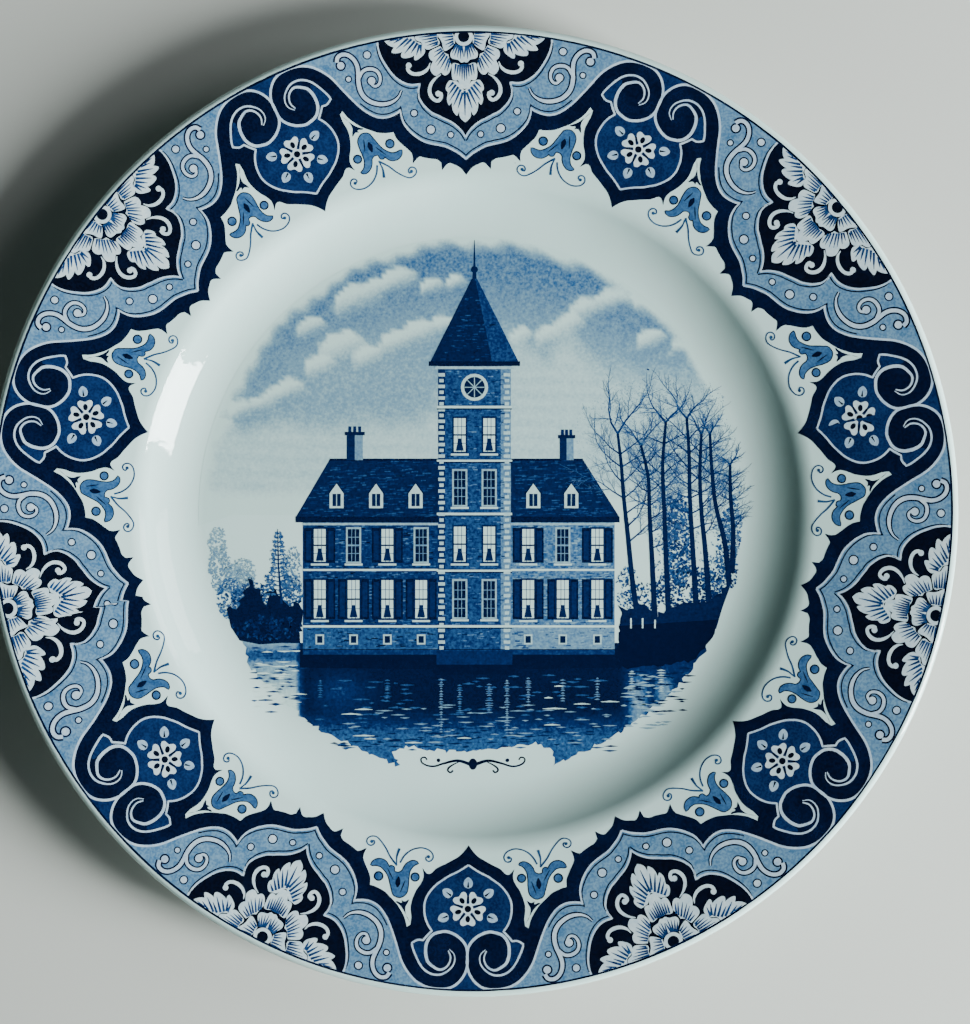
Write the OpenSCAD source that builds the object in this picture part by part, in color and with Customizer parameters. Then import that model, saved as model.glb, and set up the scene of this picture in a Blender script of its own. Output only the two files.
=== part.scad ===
/* [Plate] */
// Outer diameter of the plate
plate_d = 250; // [200:1:300]
// Thickness of the wall, glaze included
wall_t = 4; // [3.2:0.1:5]
// Thickness of the glaze coat
glaze_t = 0.3; // [0.2:0.05:0.5]
// Thickness of the printed colour
print_t = 0.08; // [0.05:0.01:0.15]

/* [Profile] */
// Radius of the flat floor of the well
well_r = 70.5; // [68:0.5:72]
// Radius of the hollow curve between the floor and the wall
hollow_r = 20; // [16:0.5:22]
// Radius of the shoulder between the wall and the rim
shoulder_r = 9; // [7:0.5:11]
// Radius of the rounded lip
lip_r = 1.5; // [1.2:0.1:1.8]
// Steepest slope of the wall in degrees
wall_slope = 44; // [35:1:50]
// Slope of the rim in degrees
rim_slope = 10; // [6:1:14]

/* [Foot ring] */
// Height of the foot ring below the plate's underside
foot_h = 3; // [2:0.5:4]
// Outer radius of the foot ring
foot_r = 71; // [68:0.5:72]
// Width of the foot ring
foot_w = 5; // [3:0.5:6]
// Height of the unglazed standing edge
bare_h = 0.8; // [0.5:0.1:1.2]

/* [Printed border] */
// Number of times that the border pattern repeats
repeats = 7; // [7:1:7]
// Turn of the whole border in degrees
border_turn = 1.1; // [0:0.1:10]
// Radius at which the printed border ends
border_r = 122.8; // [122:0.1:122.8]
// White gap between neighbouring areas of print
gap = 0.5; // [0.3:0.1:0.7]
// Width of the dark line at the rim
rim_line_w = 0.6; // [0.4:0.1:1]

/* [Printed view] */
// Radius of the round view
view_r = 68.2; // [60:0.1:68.2]
// Height of the view's centre above the plate's centre
view_y = 2.3; // [0:0.1:2.3]
// Height of the line where the ground meets the water
bank_y = -35; // [-40:1:-30]

/* [Hidden] */

clay = [0.90, 0.87, 0.80];
glaze_white = [0.88, 0.92, 0.91];
navy = [0.03, 0.07, 0.20];
cobalt = [0.08, 0.17, 0.35];
pale_blue = [0.50, 0.62, 0.74];

plate_r = plate_d / 2;
floor_z = foot_h + wall_t;
step_angle = 360 / repeats;
arc_steps = 6;
bow_steps = 3;
foot_in = foot_r - foot_w;
stand_bevel = 0.5;

// Centre of the hollow curve, its upper end, and the centre of the shoulder
hollow_c = [well_r, floor_z + hollow_r];
wall_top = hollow_c + hollow_r * [sin(wall_slope), -cos(wall_slope)];
shoulder_c = wall_top + shoulder_r * [sin(wall_slope), -cos(wall_slope)];
rim_start = shoulder_c + shoulder_r * [-sin(rim_slope), cos(rim_slope)];
rim_run = (plate_r - lip_r - lip_r * sin(rim_slope) - rim_start.x) / cos(rim_slope);
lip_c = rim_start + rim_run * [cos(rim_slope), sin(rim_slope)]
      + lip_r * [sin(rim_slope), -cos(rim_slope)];

function reverse(list) = [for (i = [len(list) - 1:-1:0]) list[i]];

// Points of an arc between two angles
function arc(c, r, from, to, n = arc_steps) =
    [for (i = [0:n]) let (a = from + (to - from) * i / n) c + r * [cos(a), sin(a)]];

// The face from the floor to the rim, at a height d above the glaze
function face_curve(d) = concat(
    arc(hollow_c, hollow_r - d, -90, wall_slope - 90),
    arc(shoulder_c, shoulder_r + d, wall_slope + 90, rim_slope + 90));

// Where the underside, at depth d, meets the outside of the foot ring
function foot_meet(d, r) = asin((r - well_r) / (hollow_r + d));

// The underside from the rim down to the foot ring, at a depth d below the face
function back_curve(d, r) = concat(
    arc(shoulder_c, shoulder_r - d, rim_slope + 90, wall_slope + 90),
    arc(hollow_c, hollow_r + d, wall_slope - 90, foot_meet(d, r) - 90));

// The skin from the middle of the face round the lip to the foot ring, inset by g
function skin(g) = concat([[0, floor_z - g]], face_curve(-g),
    arc(lip_c, lip_r - g, rim_slope + 90, 0), arc(lip_c, lip_r - g, -15, rim_slope - 90),
    back_curve(wall_t - g, foot_r - g), [[foot_r - g, bare_h]]);

// Curved outline through points [x, y, bow], where bow is how far the stretch to the
// next point swells to its left
function bowed(p) = [for (i = [0:len(p) - 2])
    let (a = [p[i].x, p[i].y], s = [p[i + 1].x, p[i + 1].y] - a, b = p[i].z,
         n = b == 0 ? 1 : bow_steps)
    for (k = [0:n - 1])
        let (t = k / n) a + s * t + 4 * b * t * (1 - t) * [-s.y, s.x] / norm(s)];
function open_curve(p) = concat(bowed(p), [[p[len(p) - 1].x, p[len(p) - 1].y]]);
function closed_curve(p) = bowed(concat(p, [p[0]]));

// The same curve moved sideways by d, to its left; points on the axis stay on it
function beside(p, d) = [for (i = [0:len(p) - 1])
    let (s = p[min(i + 1, len(p) - 1)] - p[max(i - 1, 0)], m = d * [-s.y, s.x] / norm(s))
        abs(p[i].x) < 0.001 ? p[i] + [0, d * norm(s) / s.x] : p[i] + m];

// The same outline on the other side of the axis, walked the other way
function flip(p) = [for (q = reverse(p)) [-q.x, q.y]];

// One repeat's points, carried on round the whole border
function all_round(p) = [for (k = [0:repeats - 1]) for (q = turned(p, -k * step_angle)) q];

function turned(p, a) = [for (q = p)
    [q.x * cos(a) - q.y * sin(a), q.x * sin(a) + q.y * cos(a)]];

// A point given beside the medallion's own axis, seen from the flower's axis
function by_medallion(p) = [for (q = p) let (a = step_angle / 2)
    [q.y * sin(a) - q.x * cos(a), q.y * cos(a) + q.x * sin(a), len(q) > 2 ? q.z : 0]];

// Right half of each border line, from the flower's axis (x = 0) towards the medallion;
// those that end at the rim run on past it, and the coat of colour cuts them off
inner_edge = open_curve(concat(
    [[0, 87.2, 0.5], [5, 90.4, 0], [6.3, 88.7, -0.2], [7.6, 91.2, 0.3], [12.3, 92, 0],
     [13.9, 90.5, -0.2], [14.4, 93.4, 0.2], [18.6, 98.2, -0.5], [25, 98.9, -0.4],
     [32.2, 103.8, 0.7]],
    by_medallion([[18.8, 101.9, -0.9], [12.2, 97, -0.3], [11.8, 92.7, 0],
     [10, 94, 0.4], [4, 90.4, 0.3], [0, 86.6, 0]])));
band_line = open_curve(concat(
    [[0, 91.2, 0.7], [7, 94.9, -1], [16.6, 103.9, -0.8], [23, 102.3, -0.5],
     [29, 106.6, 0.3]],
    by_medallion([[16.9, 114.8, -1.3], [9, 122.4, 0], [8.2, 127, 0]])));
cartouche_line = open_curve([[0, 96.7, 0.5], [5.5, 101.5, -0.3], [11, 105.2, -0.6],
    [11.5, 110.3, 0], [13.3, 110.1, -1], [20.2, 115.3, -0.7], [22.1, 120.7, 0],
    [22.4, 126.5, 0]]);
medallion_line = open_curve([[0, 91.6, 0.3], [8, 96.6, -1], [11, 103, -0.5], [9, 108.3, 0],
    [12.4, 110.7, 0], [13.9, 111.9, -1.6], [9.2, 119, -0.8], [3.1, 115, 0],
    [4.4, 110, -0.4], [0, 112.4, 0]]);

// One repeat of the ribbon's edges, from the medallion on the left to the next one
function both_sides(p) = concat(flip(p), [for (q = p) if (q.x > 0.001) q]);
ribbon_inner = concat(flip(inner_edge), [for (i = [1:len(inner_edge) - 2]) inner_edge[i]]);
ribbon_outer = both_sides(beside(band_line, -gap / 2));
medallion_edge = turned(both_sides(medallion_line), -step_angle / 2);

tulip = closed_curve([[32, 102.4, -0.4], [27.6, 98.6, 0], [28.2, 96.4, -0.9],
    [26, 90.6, 0.3], [27.2, 88, 1], [24.3, 91.4, 0.3], [22, 91.6, 0.3], [16.5, 92.4, -0.4],
    [19.4, 93.4, 0.6], [24.4, 97.6, 0], [26.4, 98.6, 0.4], [31.4, 103, 0]]);
left_tendril = closed_curve([[21.8, 91, 0.4], [16.6, 87.4, -0.5], [12.6, 88.3, 0],
    [13.3, 88.8, 0.4], [16.2, 88.2, -0.4], [21.4, 91.2, 0]]);
right_tendril = closed_curve([[23, 90.8, 0.5], [25.4, 84.6, 1], [30.1, 85.9, 0],
    [29.4, 86.2, -0.8], [25.9, 85.4, -0.5], [23.6, 91, 0]]);

// A plain country house: two hipped wings, a chimney on each, and a spired tower between
house = [[-43.9, bank_y], [-43.9, -1.2], [-45.8, -1.8], [-37, 13.4], [-32.6, 13.4],
    [-32.6, 20.2], [-28.4, 20.2], [-28.4, 13.4], [-9, 13.4], [-9, 38], [-11, 38.6],
    [-0.4, 60], [0.1, 68], [0.7, 68], [1.2, 60], [11.8, 38.6], [9.8, 38], [9.8, 13.4],
    [22.4, 13.4], [22.4, 19.4], [26, 19.4], [26, 13.4], [28.4, 13.4], [37.9, -1.8],
    [36.6, -1.2], [36.6, bank_y]];
bare_trees = open_curve([[38.6, bank_y, 0], [38.6, -1, 0], [29.4, 15.4, 0.5], [29, 26, -1],
    [33, 36, -1], [44, 35, -1], [56, 33, -2], [65.2, 13.6, -1], [61, bank_y + 4, 0], [58, bank_y, 0]]);
dark_firs = open_curve([[-44.6, bank_y, 0], [-44.6, -6, -1], [-50, -3.4, -0.6],
    [-55, -15, 0.5], [-60, -6, -1], [-67, -6.6, -1], [-62.8, -27, 0], [-56, bank_y, 0]]);

flourish_y = -64.4;
flourish = open_curve([[0, -1.4, 0.4], [5, -0.3, -0.6], [12, 0.6, 0.4], [18, -0.6, 0],
    [12, -0.4, 0.7], [5, -1.4, -0.5], [0, -3, 0]]);

// The printed rim's edge at radius r and height d above the glaze
function rim_end(r, d) =
    [rim_start + d * [-sin(rim_slope), cos(rim_slope)]
     + (r - rim_start.x) / cos(rim_slope) * [cos(rim_slope), sin(rim_slope)]];

// The shoulder and the upper end of the wall, at a height d above the glaze
function shoulder_curve(d) =
    let (p = face_curve(d)) [for (i = [arc_steps - 1:len(p) - 1]) p[i]];

// Colour as thick as the print, lying on the shoulder and the rim
module border_coat() {
    rotate_extrude($fn = 180)
        polygon(concat(shoulder_curve(0), rim_end(border_r, 0), rim_end(border_r, print_t),
                       reverse(shoulder_curve(print_t))));
}

// Cuts the border's colour to the outline given as a flat child
module border_print() {
    intersection() {
        border_coat();
        linear_extrude(height = floor_z + 40) children();
    }
}

// Lays the outline given as a flat child on the floor of the well
module view_print() {
    translate([0, 0, floor_z]) linear_extrude(height = print_t) children();
}

module around_border() {
    for (k = [0:repeats - 1]) rotate(border_turn + k * step_angle) children();
}

module on_medallion() {
    rotate(-step_angle / 2) children();
}

module earthenware_body() {
    color(clay)
        rotate_extrude($fn = 180)
            polygon(concat(skin(glaze_t),
                [[foot_r - glaze_t - stand_bevel, 0], [foot_in + glaze_t + stand_bevel, 0],
                 [foot_in + glaze_t, bare_h], [foot_in + glaze_t, foot_h + glaze_t],
                 [0, foot_h + glaze_t]]));
}

module outer_glaze() {
    color(glaze_white)
        rotate_extrude($fn = 180) polygon(concat(skin(0), reverse(skin(glaze_t))));
}

module foot_recess_glaze() {
    color(glaze_white)
        rotate_extrude($fn = 180)
            polygon([[0, foot_h], [foot_in, foot_h], [foot_in, bare_h],
                     [foot_in + glaze_t, bare_h], [foot_in + glaze_t, foot_h + glaze_t],
                     [0, foot_h + glaze_t]]);
}

module rim_line_print() {
    inner = border_r + 0.05;
    color(navy)
        rotate_extrude($fn = 180)
            polygon(concat(rim_end(inner, 0), rim_end(inner + rim_line_w, 0),
                           rim_end(inner + rim_line_w, print_t), rim_end(inner, print_t)));
}

module ribbon_print() {
    inner = all_round(ribbon_inner);
    outer = all_round(ribbon_outer);
    color(navy)
        border_print() rotate(border_turn) difference() {
            polygon(outer);
            polygon(inner);
            for (k = [0:repeats - 1]) polygon(turned(medallion_edge, k * step_angle));
        }
}

module pale_band_prints() {
    outline = concat(beside(band_line, gap / 2), reverse(beside(cartouche_line, -gap / 2)));
    color(pale_blue) border_print() around_border() polygon(both_sides(outline));
}

module cartouche_prints() {
    outline = concat(beside(cartouche_line, gap / 2), [[0, plate_r + 5]]);
    color(navy) border_print() around_border() polygon(both_sides(outline));
}

module medallion_prints() {
    side = beside(medallion_line, gap);
    color(cobalt)
        border_print() around_border() on_medallion() polygon(both_sides(side));
}

module sprig_prints() {
    color(cobalt)
        border_print() around_border() for (p = [tulip, left_tendril, right_tendril]) {
            polygon(p);
            polygon(flip(p));
        }
}

module view_disc() {
    translate([0, view_y]) circle(r = view_r, $fn = 180);
}

module view_sky_print() {
    color(pale_blue)
        view_print() difference() {
            intersection() {
                view_disc();
                translate([-view_r, bank_y]) square([2 * view_r, 2 * view_r]);
            }
            polygon(house);
            polygon(bare_trees);
            polygon(dark_firs);
        }
}

module view_house_print() {
    color(cobalt) view_print() polygon(house);
}

module view_trees_print() {
    color(cobalt) view_print() intersection() {
        view_disc();
        union() {
            polygon(bare_trees);
            polygon(dark_firs);
        }
    }
}

module view_water_print() {
    color(navy)
        view_print() difference() {
            intersection() {
                view_disc();
                translate([-view_r, bank_y - gap - view_r]) square([2 * view_r, view_r]);
            }
            translate([-21, bank_y - 32]) square([42, 6]);
        }
}

module flourish_print() {
    color(navy) view_print() translate([0, flourish_y]) polygon(both_sides(flourish));
}

earthenware_body();
outer_glaze();
foot_recess_glaze();
rim_line_print();
ribbon_print();
pale_band_prints();
cartouche_prints();
medallion_prints();
sprig_prints();
view_sky_print();
view_house_print();
view_trees_print();
view_water_print();
flourish_print();
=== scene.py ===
import math
import random

import bpy
import numpy as np
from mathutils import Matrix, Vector, geometry


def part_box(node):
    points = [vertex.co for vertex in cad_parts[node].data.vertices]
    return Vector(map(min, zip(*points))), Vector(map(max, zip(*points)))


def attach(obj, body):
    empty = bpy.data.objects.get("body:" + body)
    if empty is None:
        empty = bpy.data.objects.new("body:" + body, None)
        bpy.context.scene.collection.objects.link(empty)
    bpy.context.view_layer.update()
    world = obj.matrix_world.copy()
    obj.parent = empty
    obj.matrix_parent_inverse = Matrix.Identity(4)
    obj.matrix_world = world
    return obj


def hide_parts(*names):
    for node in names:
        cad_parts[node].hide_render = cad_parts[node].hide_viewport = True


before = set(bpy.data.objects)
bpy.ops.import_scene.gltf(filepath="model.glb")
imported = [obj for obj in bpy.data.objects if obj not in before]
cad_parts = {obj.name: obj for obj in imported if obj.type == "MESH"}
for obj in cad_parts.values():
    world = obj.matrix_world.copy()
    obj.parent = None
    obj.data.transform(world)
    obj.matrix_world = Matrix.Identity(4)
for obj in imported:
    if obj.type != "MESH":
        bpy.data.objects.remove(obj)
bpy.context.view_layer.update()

mm = 0.001

# the plate's own shape, in millimetres
plate = {
    "wellRadius": 70.5, "hollowRadius": 20.0, "shoulderRadius": 9.0, "lipRadius": 1.5,
    "wall": 4.0, "wallSlope": 44.0, "rimSlope": 10.0,
    "footOut": 71.0, "footIn": 66.0, "footHeight": 3.0, "bareEdge": 0.8,
    "spinSteps": 288, "weld": 0.004, "splitMargin": 0.001,
}
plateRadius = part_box("outer_glaze")[1].x / mm
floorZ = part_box("view_house_print")[0].z / mm
wallSlope = math.radians(plate["wallSlope"])
rimSlope = math.radians(plate["rimSlope"])


def along(point, angle, distance):
    return (point[0] + distance * math.cos(angle), point[1] + distance * math.sin(angle))


# centre of the hollow, top of the wall, centre of the shoulder, start of the rim, centre of the lip
hollowCentre = (plate["wellRadius"], floorZ + plate["hollowRadius"])
wallTop = along(hollowCentre, wallSlope - math.pi / 2, plate["hollowRadius"])
shoulderCentre = along(wallTop, wallSlope - math.pi / 2, plate["shoulderRadius"])
rimStart = along(shoulderCentre, rimSlope + math.pi / 2, plate["shoulderRadius"])
lipX = plateRadius - plate["lipRadius"]
rimRun = (lipX - plate["lipRadius"] * math.sin(rimSlope) - rimStart[0]) / math.cos(rimSlope)
lipCentre = along(along(rimStart, rimSlope, rimRun), rimSlope - math.pi / 2, plate["lipRadius"])


def faceHeight(r):
    # height of the face and the outward part of its normal, for an array of radii
    lean = np.zeros_like(r)
    z = np.full_like(r, floorZ)
    hollow = (r > plate["wellRadius"]) & (r <= wallTop[0])
    lean[hollow] = (r[hollow] - plate["wellRadius"]) / plate["hollowRadius"]
    z[hollow] = hollowCentre[1] - plate["hollowRadius"] * np.sqrt(1 - lean[hollow] ** 2)
    shoulder = (r > wallTop[0]) & (r <= rimStart[0])
    lean[shoulder] = (shoulderCentre[0] - r[shoulder]) / plate["shoulderRadius"]
    z[shoulder] = shoulderCentre[1] + plate["shoulderRadius"] * np.sqrt(1 - lean[shoulder] ** 2)
    rim = r > rimStart[0]
    lean[rim] = math.sin(rimSlope)
    z[rim] = rimStart[1] + (r[rim] - rimStart[0]) * math.tan(rimSlope)
    return z, -lean


def newObject(name, verts, faces):
    mesh = bpy.data.meshes.new(name)
    mesh.from_pydata([tuple(v) for v in verts], [], [tuple(f) for f in faces])
    mesh.validate()
    piece = bpy.data.objects.new(name, mesh)
    bpy.context.scene.collection.objects.link(piece)
    return piece


def pick(piece):
    bpy.ops.object.select_all(action="DESELECT")
    piece.select_set(True)
    bpy.context.view_layer.objects.active = piece


def operator(operation, flipped=False):
    # one of Python's own signs, such as +, as a Math node
    def apply(self, other):
        first, second = (other, self) if flipped else (self, other)
        return self.maths(operation, first, second)
    return apply


class Value:
    # a socket that can be added, multiplied and so on, each time adding a Math node
    def __init__(self, tree, socket):
        self.tree = tree
        self.socket = socket

    def maths(self, operation, a, b=None, clamp=False):
        node = self.tree.nodes.new("ShaderNodeMath")
        node.operation = operation
        node.use_clamp = clamp
        for spot, value in zip(node.inputs, (a, b)):
            if isinstance(value, Value):
                self.tree.links.new(value.socket, spot)
            elif value is not None:
                spot.default_value = value
        return Value(self.tree, node.outputs[0])

    def clamped(self):
        return self.maths("ADD", self, 0.0, clamp=True)

    __add__ = operator("ADD")
    __sub__ = operator("SUBTRACT")
    __rsub__ = operator("SUBTRACT", flipped=True)
    __mul__ = operator("MULTIPLY")
    __rmul__ = operator("MULTIPLY", flipped=True)


class Finish:
    # a material with one Principled shader, and one way to add any other node
    def __init__(self, name):
        self.material = bpy.data.materials.new(name)
        self.material.use_nodes = True
        self.tree = self.material.node_tree
        self.shader = self.tree.nodes["Principled BSDF"]
        self.place = self.add("ShaderNodeTexCoord", out="Object")

    def add(self, kind, settings=None, sockets=None, out=0):
        node = self.tree.nodes.new(kind)
        for key, value in (settings or {}).items():
            if key == "stops":
                while len(node.color_ramp.elements) < len(value):
                    node.color_ramp.elements.new(0.5)
                for stop, (position, colour) in zip(node.color_ramp.elements, value):
                    stop.position = position
                    stop.color = (*colour, 1.0)
            else:
                setattr(node, key, value)
        for key, value in (sockets or {}).items():
            if isinstance(value, Value):
                self.tree.links.new(value.socket, node.inputs[key])
            elif isinstance(value, tuple) and node.inputs[key].type == "RGBA":
                node.inputs[key].default_value = (*value, 1.0)
            else:
                node.inputs[key].default_value = value
        return Value(self.tree, node.outputs[out])

    def noise(self, scale, detail=2.0, roughness=0.5):
        return self.add("ShaderNodeTexNoise", sockets={
            "Vector": self.place, "Scale": scale, "Detail": detail, "Roughness": roughness})

    def spread(self, value, low, high, toLow=0.0, toHigh=1.0):
        return self.add("ShaderNodeMapRange", {"clamp": True}, {
            0: value, 1: low, 2: high, 3: toLow, 4: toHigh})

    def blend(self, factor, first, second):
        return self.add("ShaderNodeMix", {"data_type": "RGBA"}, {0: factor, 6: first, 7: second}, out=2)

    def feed(self, name, value):
        self.tree.links.new(value.socket, self.shader.inputs[name])

    def glossy(self, look):
        # the glaze over everything: the same gloss and ripples on ink and on bare glaze
        self.shader.inputs["Roughness"].default_value = look["roughness"]
        self.shader.inputs["IOR"].default_value = look["ior"]
        ripple = self.noise(look["rippleScale"], 1.0) + look["peelShare"] * self.noise(look["peelScale"], 1.0)
        bump = self.add("ShaderNodeBump", None, {
            "Strength": look["rippleStrength"], "Distance": look["rippleHeight"], "Height": ripple})
        self.feed("Normal", bump)


def linear(red, green, blue):
    # a colour given as 0 to 255 screen values
    def one(value):
        value = value / 255
        return value / 12.92 if value <= 0.04045 else ((value + 0.055) / 1.055) ** 2.4
    return (one(red), one(green), one(blue))


gloss = {"roughness": 0.045, "ior": 1.5, "rippleScale": 60.0, "peelScale": 420.0, "peelShare": 0.25,
         "rippleStrength": 0.16, "rippleHeight": 0.0006}

glazeLook = {"white": linear(208, 232, 230), "shade": linear(199, 225, 221), "cloudScale": 18.0,
             "cloudFrom": 0.35, "cloudTo": 0.65, "speck": linear(120, 128, 130), "speckScale": 230.0,
             "speckEdge": 0.05, "speckCore": 0.02, "speckStrength": 0.7,
             "rareScale": 97.0, "rareFrom": 0.79, "rareTo": 0.81}


def makeGlaze():
    finish = Finish("whiteGlaze")
    look = glazeLook
    cloud = finish.spread(finish.noise(look["cloudScale"], 3.0), look["cloudFrom"], look["cloudTo"])
    colour = finish.blend(cloud, look["white"], look["shade"])
    # a few tiny dark pin-marks, as in any earthenware glaze
    cells = finish.add("ShaderNodeTexVoronoi", {"feature": "F1"}, {
        "Vector": finish.place, "Scale": look["speckScale"]})
    rare = finish.spread(finish.noise(look["rareScale"], 0.0), look["rareFrom"], look["rareTo"])
    speck = finish.spread(cells, look["speckEdge"], look["speckCore"]) * rare
    finish.feed("Base Color", finish.blend(speck * look["speckStrength"], colour, look["speck"]))
    finish.glossy(gloss)
    return finish.material


biscuitLook = {"clay": linear(226, 214, 190), "worn": linear(176, 160, 132), "roughness": 0.9,
               "grainScale": 900.0, "grainShare": 0.2, "dirtScale": 55.0, "dirtFrom": 0.45, "dirtTo": 0.7,
               "dirtShare": 0.6, "bumpStrength": 0.4, "bumpHeight": 0.0002}


def makeBiscuit():
    finish = Finish("bareBiscuit")
    look = biscuitLook
    grain = finish.noise(look["grainScale"], 4.0, 0.6)
    dirt = finish.spread(finish.noise(look["dirtScale"], 3.0), look["dirtFrom"], look["dirtTo"])
    wear = dirt * look["dirtShare"] + grain * look["grainShare"]
    finish.feed("Base Color", finish.blend(wear, look["clay"], look["worn"]))
    finish.shader.inputs["Roughness"].default_value = look["roughness"]
    finish.feed("Normal", finish.add("ShaderNodeBump", None, {
        "Strength": look["bumpStrength"], "Distance": look["bumpHeight"], "Height": grain}))
    return finish.material


def makePrint(name, look):
    # printed colour: dense in places and thin in others, with fine engraved grain
    finish = Finish(name)
    wash = finish.spread(finish.noise(look["washScale"], 3.0, 0.6), look["washFrom"], look["washTo"])
    grain = finish.spread(finish.noise(look["grainScale"], 1.0), look["grainFrom"], look["grainTo"])
    tone = (wash * (1 - look["grain"]) + grain * look["grain"]).clamped()
    finish.feed("Base Color", finish.blend(tone, look["deep"], look["thin"]))
    finish.glossy(gloss)
    return finish.material


# what the inks have in common, then each ink's colours and what it has of its own
inkShared = {"washScale": 300.0, "washFrom": 0.35, "washTo": 0.7, "grainScale": 1500.0, "grain": 0.4,
             "grainFrom": 0.4, "grainTo": 0.6}
inkLooks = {
    "navyInk": {"deep": linear(4, 9, 32), "thin": linear(10, 24, 60), "washScale": 120.0,
                "washFrom": 0.45, "washTo": 0.8, "grain": 0.35},
    "blackInk": {"deep": linear(3, 6, 20), "thin": linear(9, 18, 44), "washScale": 160.0,
                 "washFrom": 0.5, "washTo": 0.85, "grain": 0.35},
    "cobaltInk": {"deep": linear(9, 24, 62), "thin": linear(22, 50, 96), "washScale": 260.0,
                  "washTo": 0.75, "grainScale": 1700.0, "grain": 0.45},
    "tulipInk": {"deep": linear(30, 66, 112), "thin": linear(70, 110, 152), "grainScale": 1600.0},
    "bandInk": {"deep": linear(58, 100, 140), "thin": linear(118, 152, 178), "washScale": 330.0,
                "washFrom": 0.3, "washTo": 0.72, "grain": 0.45},
    "lineWhite": {"deep": linear(150, 176, 206), "thin": linear(200, 214, 224), "washFrom": 0.3,
                  "grainScale": 1300.0, "grain": 0.3},
    "petalWhite": {"deep": linear(176, 198, 214), "thin": linear(214, 226, 228), "washScale": 420.0,
                   "washFrom": 0.3, "grain": 0.3},
    "leafPale": {"deep": linear(122, 154, 188), "thin": linear(176, 198, 214), "washScale": 420.0,
                 "washFrom": 0.3, "grain": 0.3},
    "hatchInk": {"deep": linear(8, 26, 68), "thin": linear(34, 74, 124)},
    "tendrilInk": {"deep": linear(14, 42, 82), "thin": linear(40, 82, 124)},
}
finishes = {name: makePrint(name, {**inkShared, **look}) for name, look in inkLooks.items()}
finishes["whiteGlaze"] = makeGlaze()
finishes["bareBiscuit"] = makeBiscuit()
print("finishes made:", len(finishes))


# body and glaze, turned on the wheel
def arcPoints(centre, radius, start, end, steps):
    return [along(centre, start + (end - start) * i / steps, radius) for i in range(steps + 1)]


def turnProfile(name, profile, steps):
    # spins a profile of (radius, height) points, which starts and ends on the axis, into a closed skin
    piece = newObject(name, [(x * mm, 0, z * mm) for x, z in profile], [])
    for i in range(len(profile) - 1):
        piece.data.edges.add(1)
        piece.data.edges[-1].vertices = (i, i + 1)
    pick(piece)
    bpy.ops.object.mode_set(mode="EDIT")
    bpy.ops.mesh.select_all(action="SELECT")
    bpy.ops.mesh.spin(steps=steps, angle=2 * math.pi, center=(0, 0, 0), axis=(0, 0, 1))
    bpy.ops.mesh.select_all(action="SELECT")
    bpy.ops.mesh.remove_doubles(threshold=plate["weld"] * mm)
    bpy.ops.mesh.normals_make_consistent(inside=False)
    bpy.ops.object.mode_set(mode="OBJECT")
    bpy.ops.object.shade_smooth()
    return piece


def makePlateSkin():
    wall = plate["wall"]
    quarter = math.pi / 2
    footOut = plate["footOut"]
    footIn = plate["footIn"]
    foot = plate["footHeight"]
    bare = plate["bareEdge"]
    meetRadius = footOut + 1.2
    meet = math.asin((meetRadius - plate["wellRadius"]) / (plate["hollowRadius"] + wall))
    profile = [(r, floorZ) for r in (0, 10, 20, 30, 40, 50, 60, 66)]
    profile += arcPoints(hollowCentre, plate["hollowRadius"], -quarter, wallSlope - quarter, 24)
    profile += arcPoints(shoulderCentre, plate["shoulderRadius"], wallSlope + quarter,
                         rimSlope + quarter, 16)[1:]
    rimWide = lipX - 0.3 - rimStart[0]
    profile += [(rimStart[0] + rimWide * k / 8, rimStart[1] + rimWide * k / 8 * math.tan(rimSlope))
                for k in range(1, 8)]
    profile += arcPoints(lipCentre, plate["lipRadius"], rimSlope + quarter, rimSlope - quarter, 16)
    profile += arcPoints(shoulderCentre, plate["shoulderRadius"] - wall, rimSlope + quarter,
                         wallSlope + quarter, 10)
    profile += arcPoints(hollowCentre, plate["hollowRadius"] + wall, wallSlope - quarter,
                         meet - quarter, 20)[1:]
    # a small fillet runs into the foot ring, whose edge is rounded
    filletTop = profile[-1][1]
    profile += [(footOut + 0.55, filletTop - 0.12), (footOut + 0.15, filletTop - 0.45),
                (footOut, filletTop - 1.0), (footOut - 0.05, bare + 0.5), (footOut - 0.12, bare)]
    # the bare standing edge has the same steps on both sides
    standing = ((0.3, bare - 0.12), (0.42, 0.45), (0.75, 0.14), (1.2, 0.0))
    profile += [(footOut - x, z) for x, z in standing]
    profile += [(footIn + x, z) for x, z in standing[::-1]]
    # inside the ring, and the floor of the recess
    profile += [(footIn + 0.12, bare), (footIn + 0.05, bare + 0.5), (footIn - 0.15, foot - 0.9),
                (footIn - 0.7, foot - 0.25)]
    profile += [(r, foot) for r in (footIn - 1.6, footIn - 8, 40, 20, 0)]
    return turnProfile("glazedSkin", profile, plate["spinSteps"])


def splitBareEdge(skin):
    # the standing edge becomes a piece of its own, with its own clay finish
    pick(skin)
    bpy.ops.object.mode_set(mode="EDIT")
    bpy.ops.mesh.select_all(action="DESELECT")
    bpy.ops.object.mode_set(mode="OBJECT")
    limit = (plate["bareEdge"] + plate["splitMargin"]) * mm
    for face in skin.data.polygons:
        face.select = all(skin.data.vertices[v].co.z < limit for v in face.vertices)
    bpy.ops.object.mode_set(mode="EDIT")
    bpy.ops.mesh.separate(type="SELECTED")
    bpy.ops.object.mode_set(mode="OBJECT")
    edge = [o for o in bpy.context.selected_objects if o is not skin][0]
    edge.name = "bareStandingEdge"
    return edge


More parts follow.
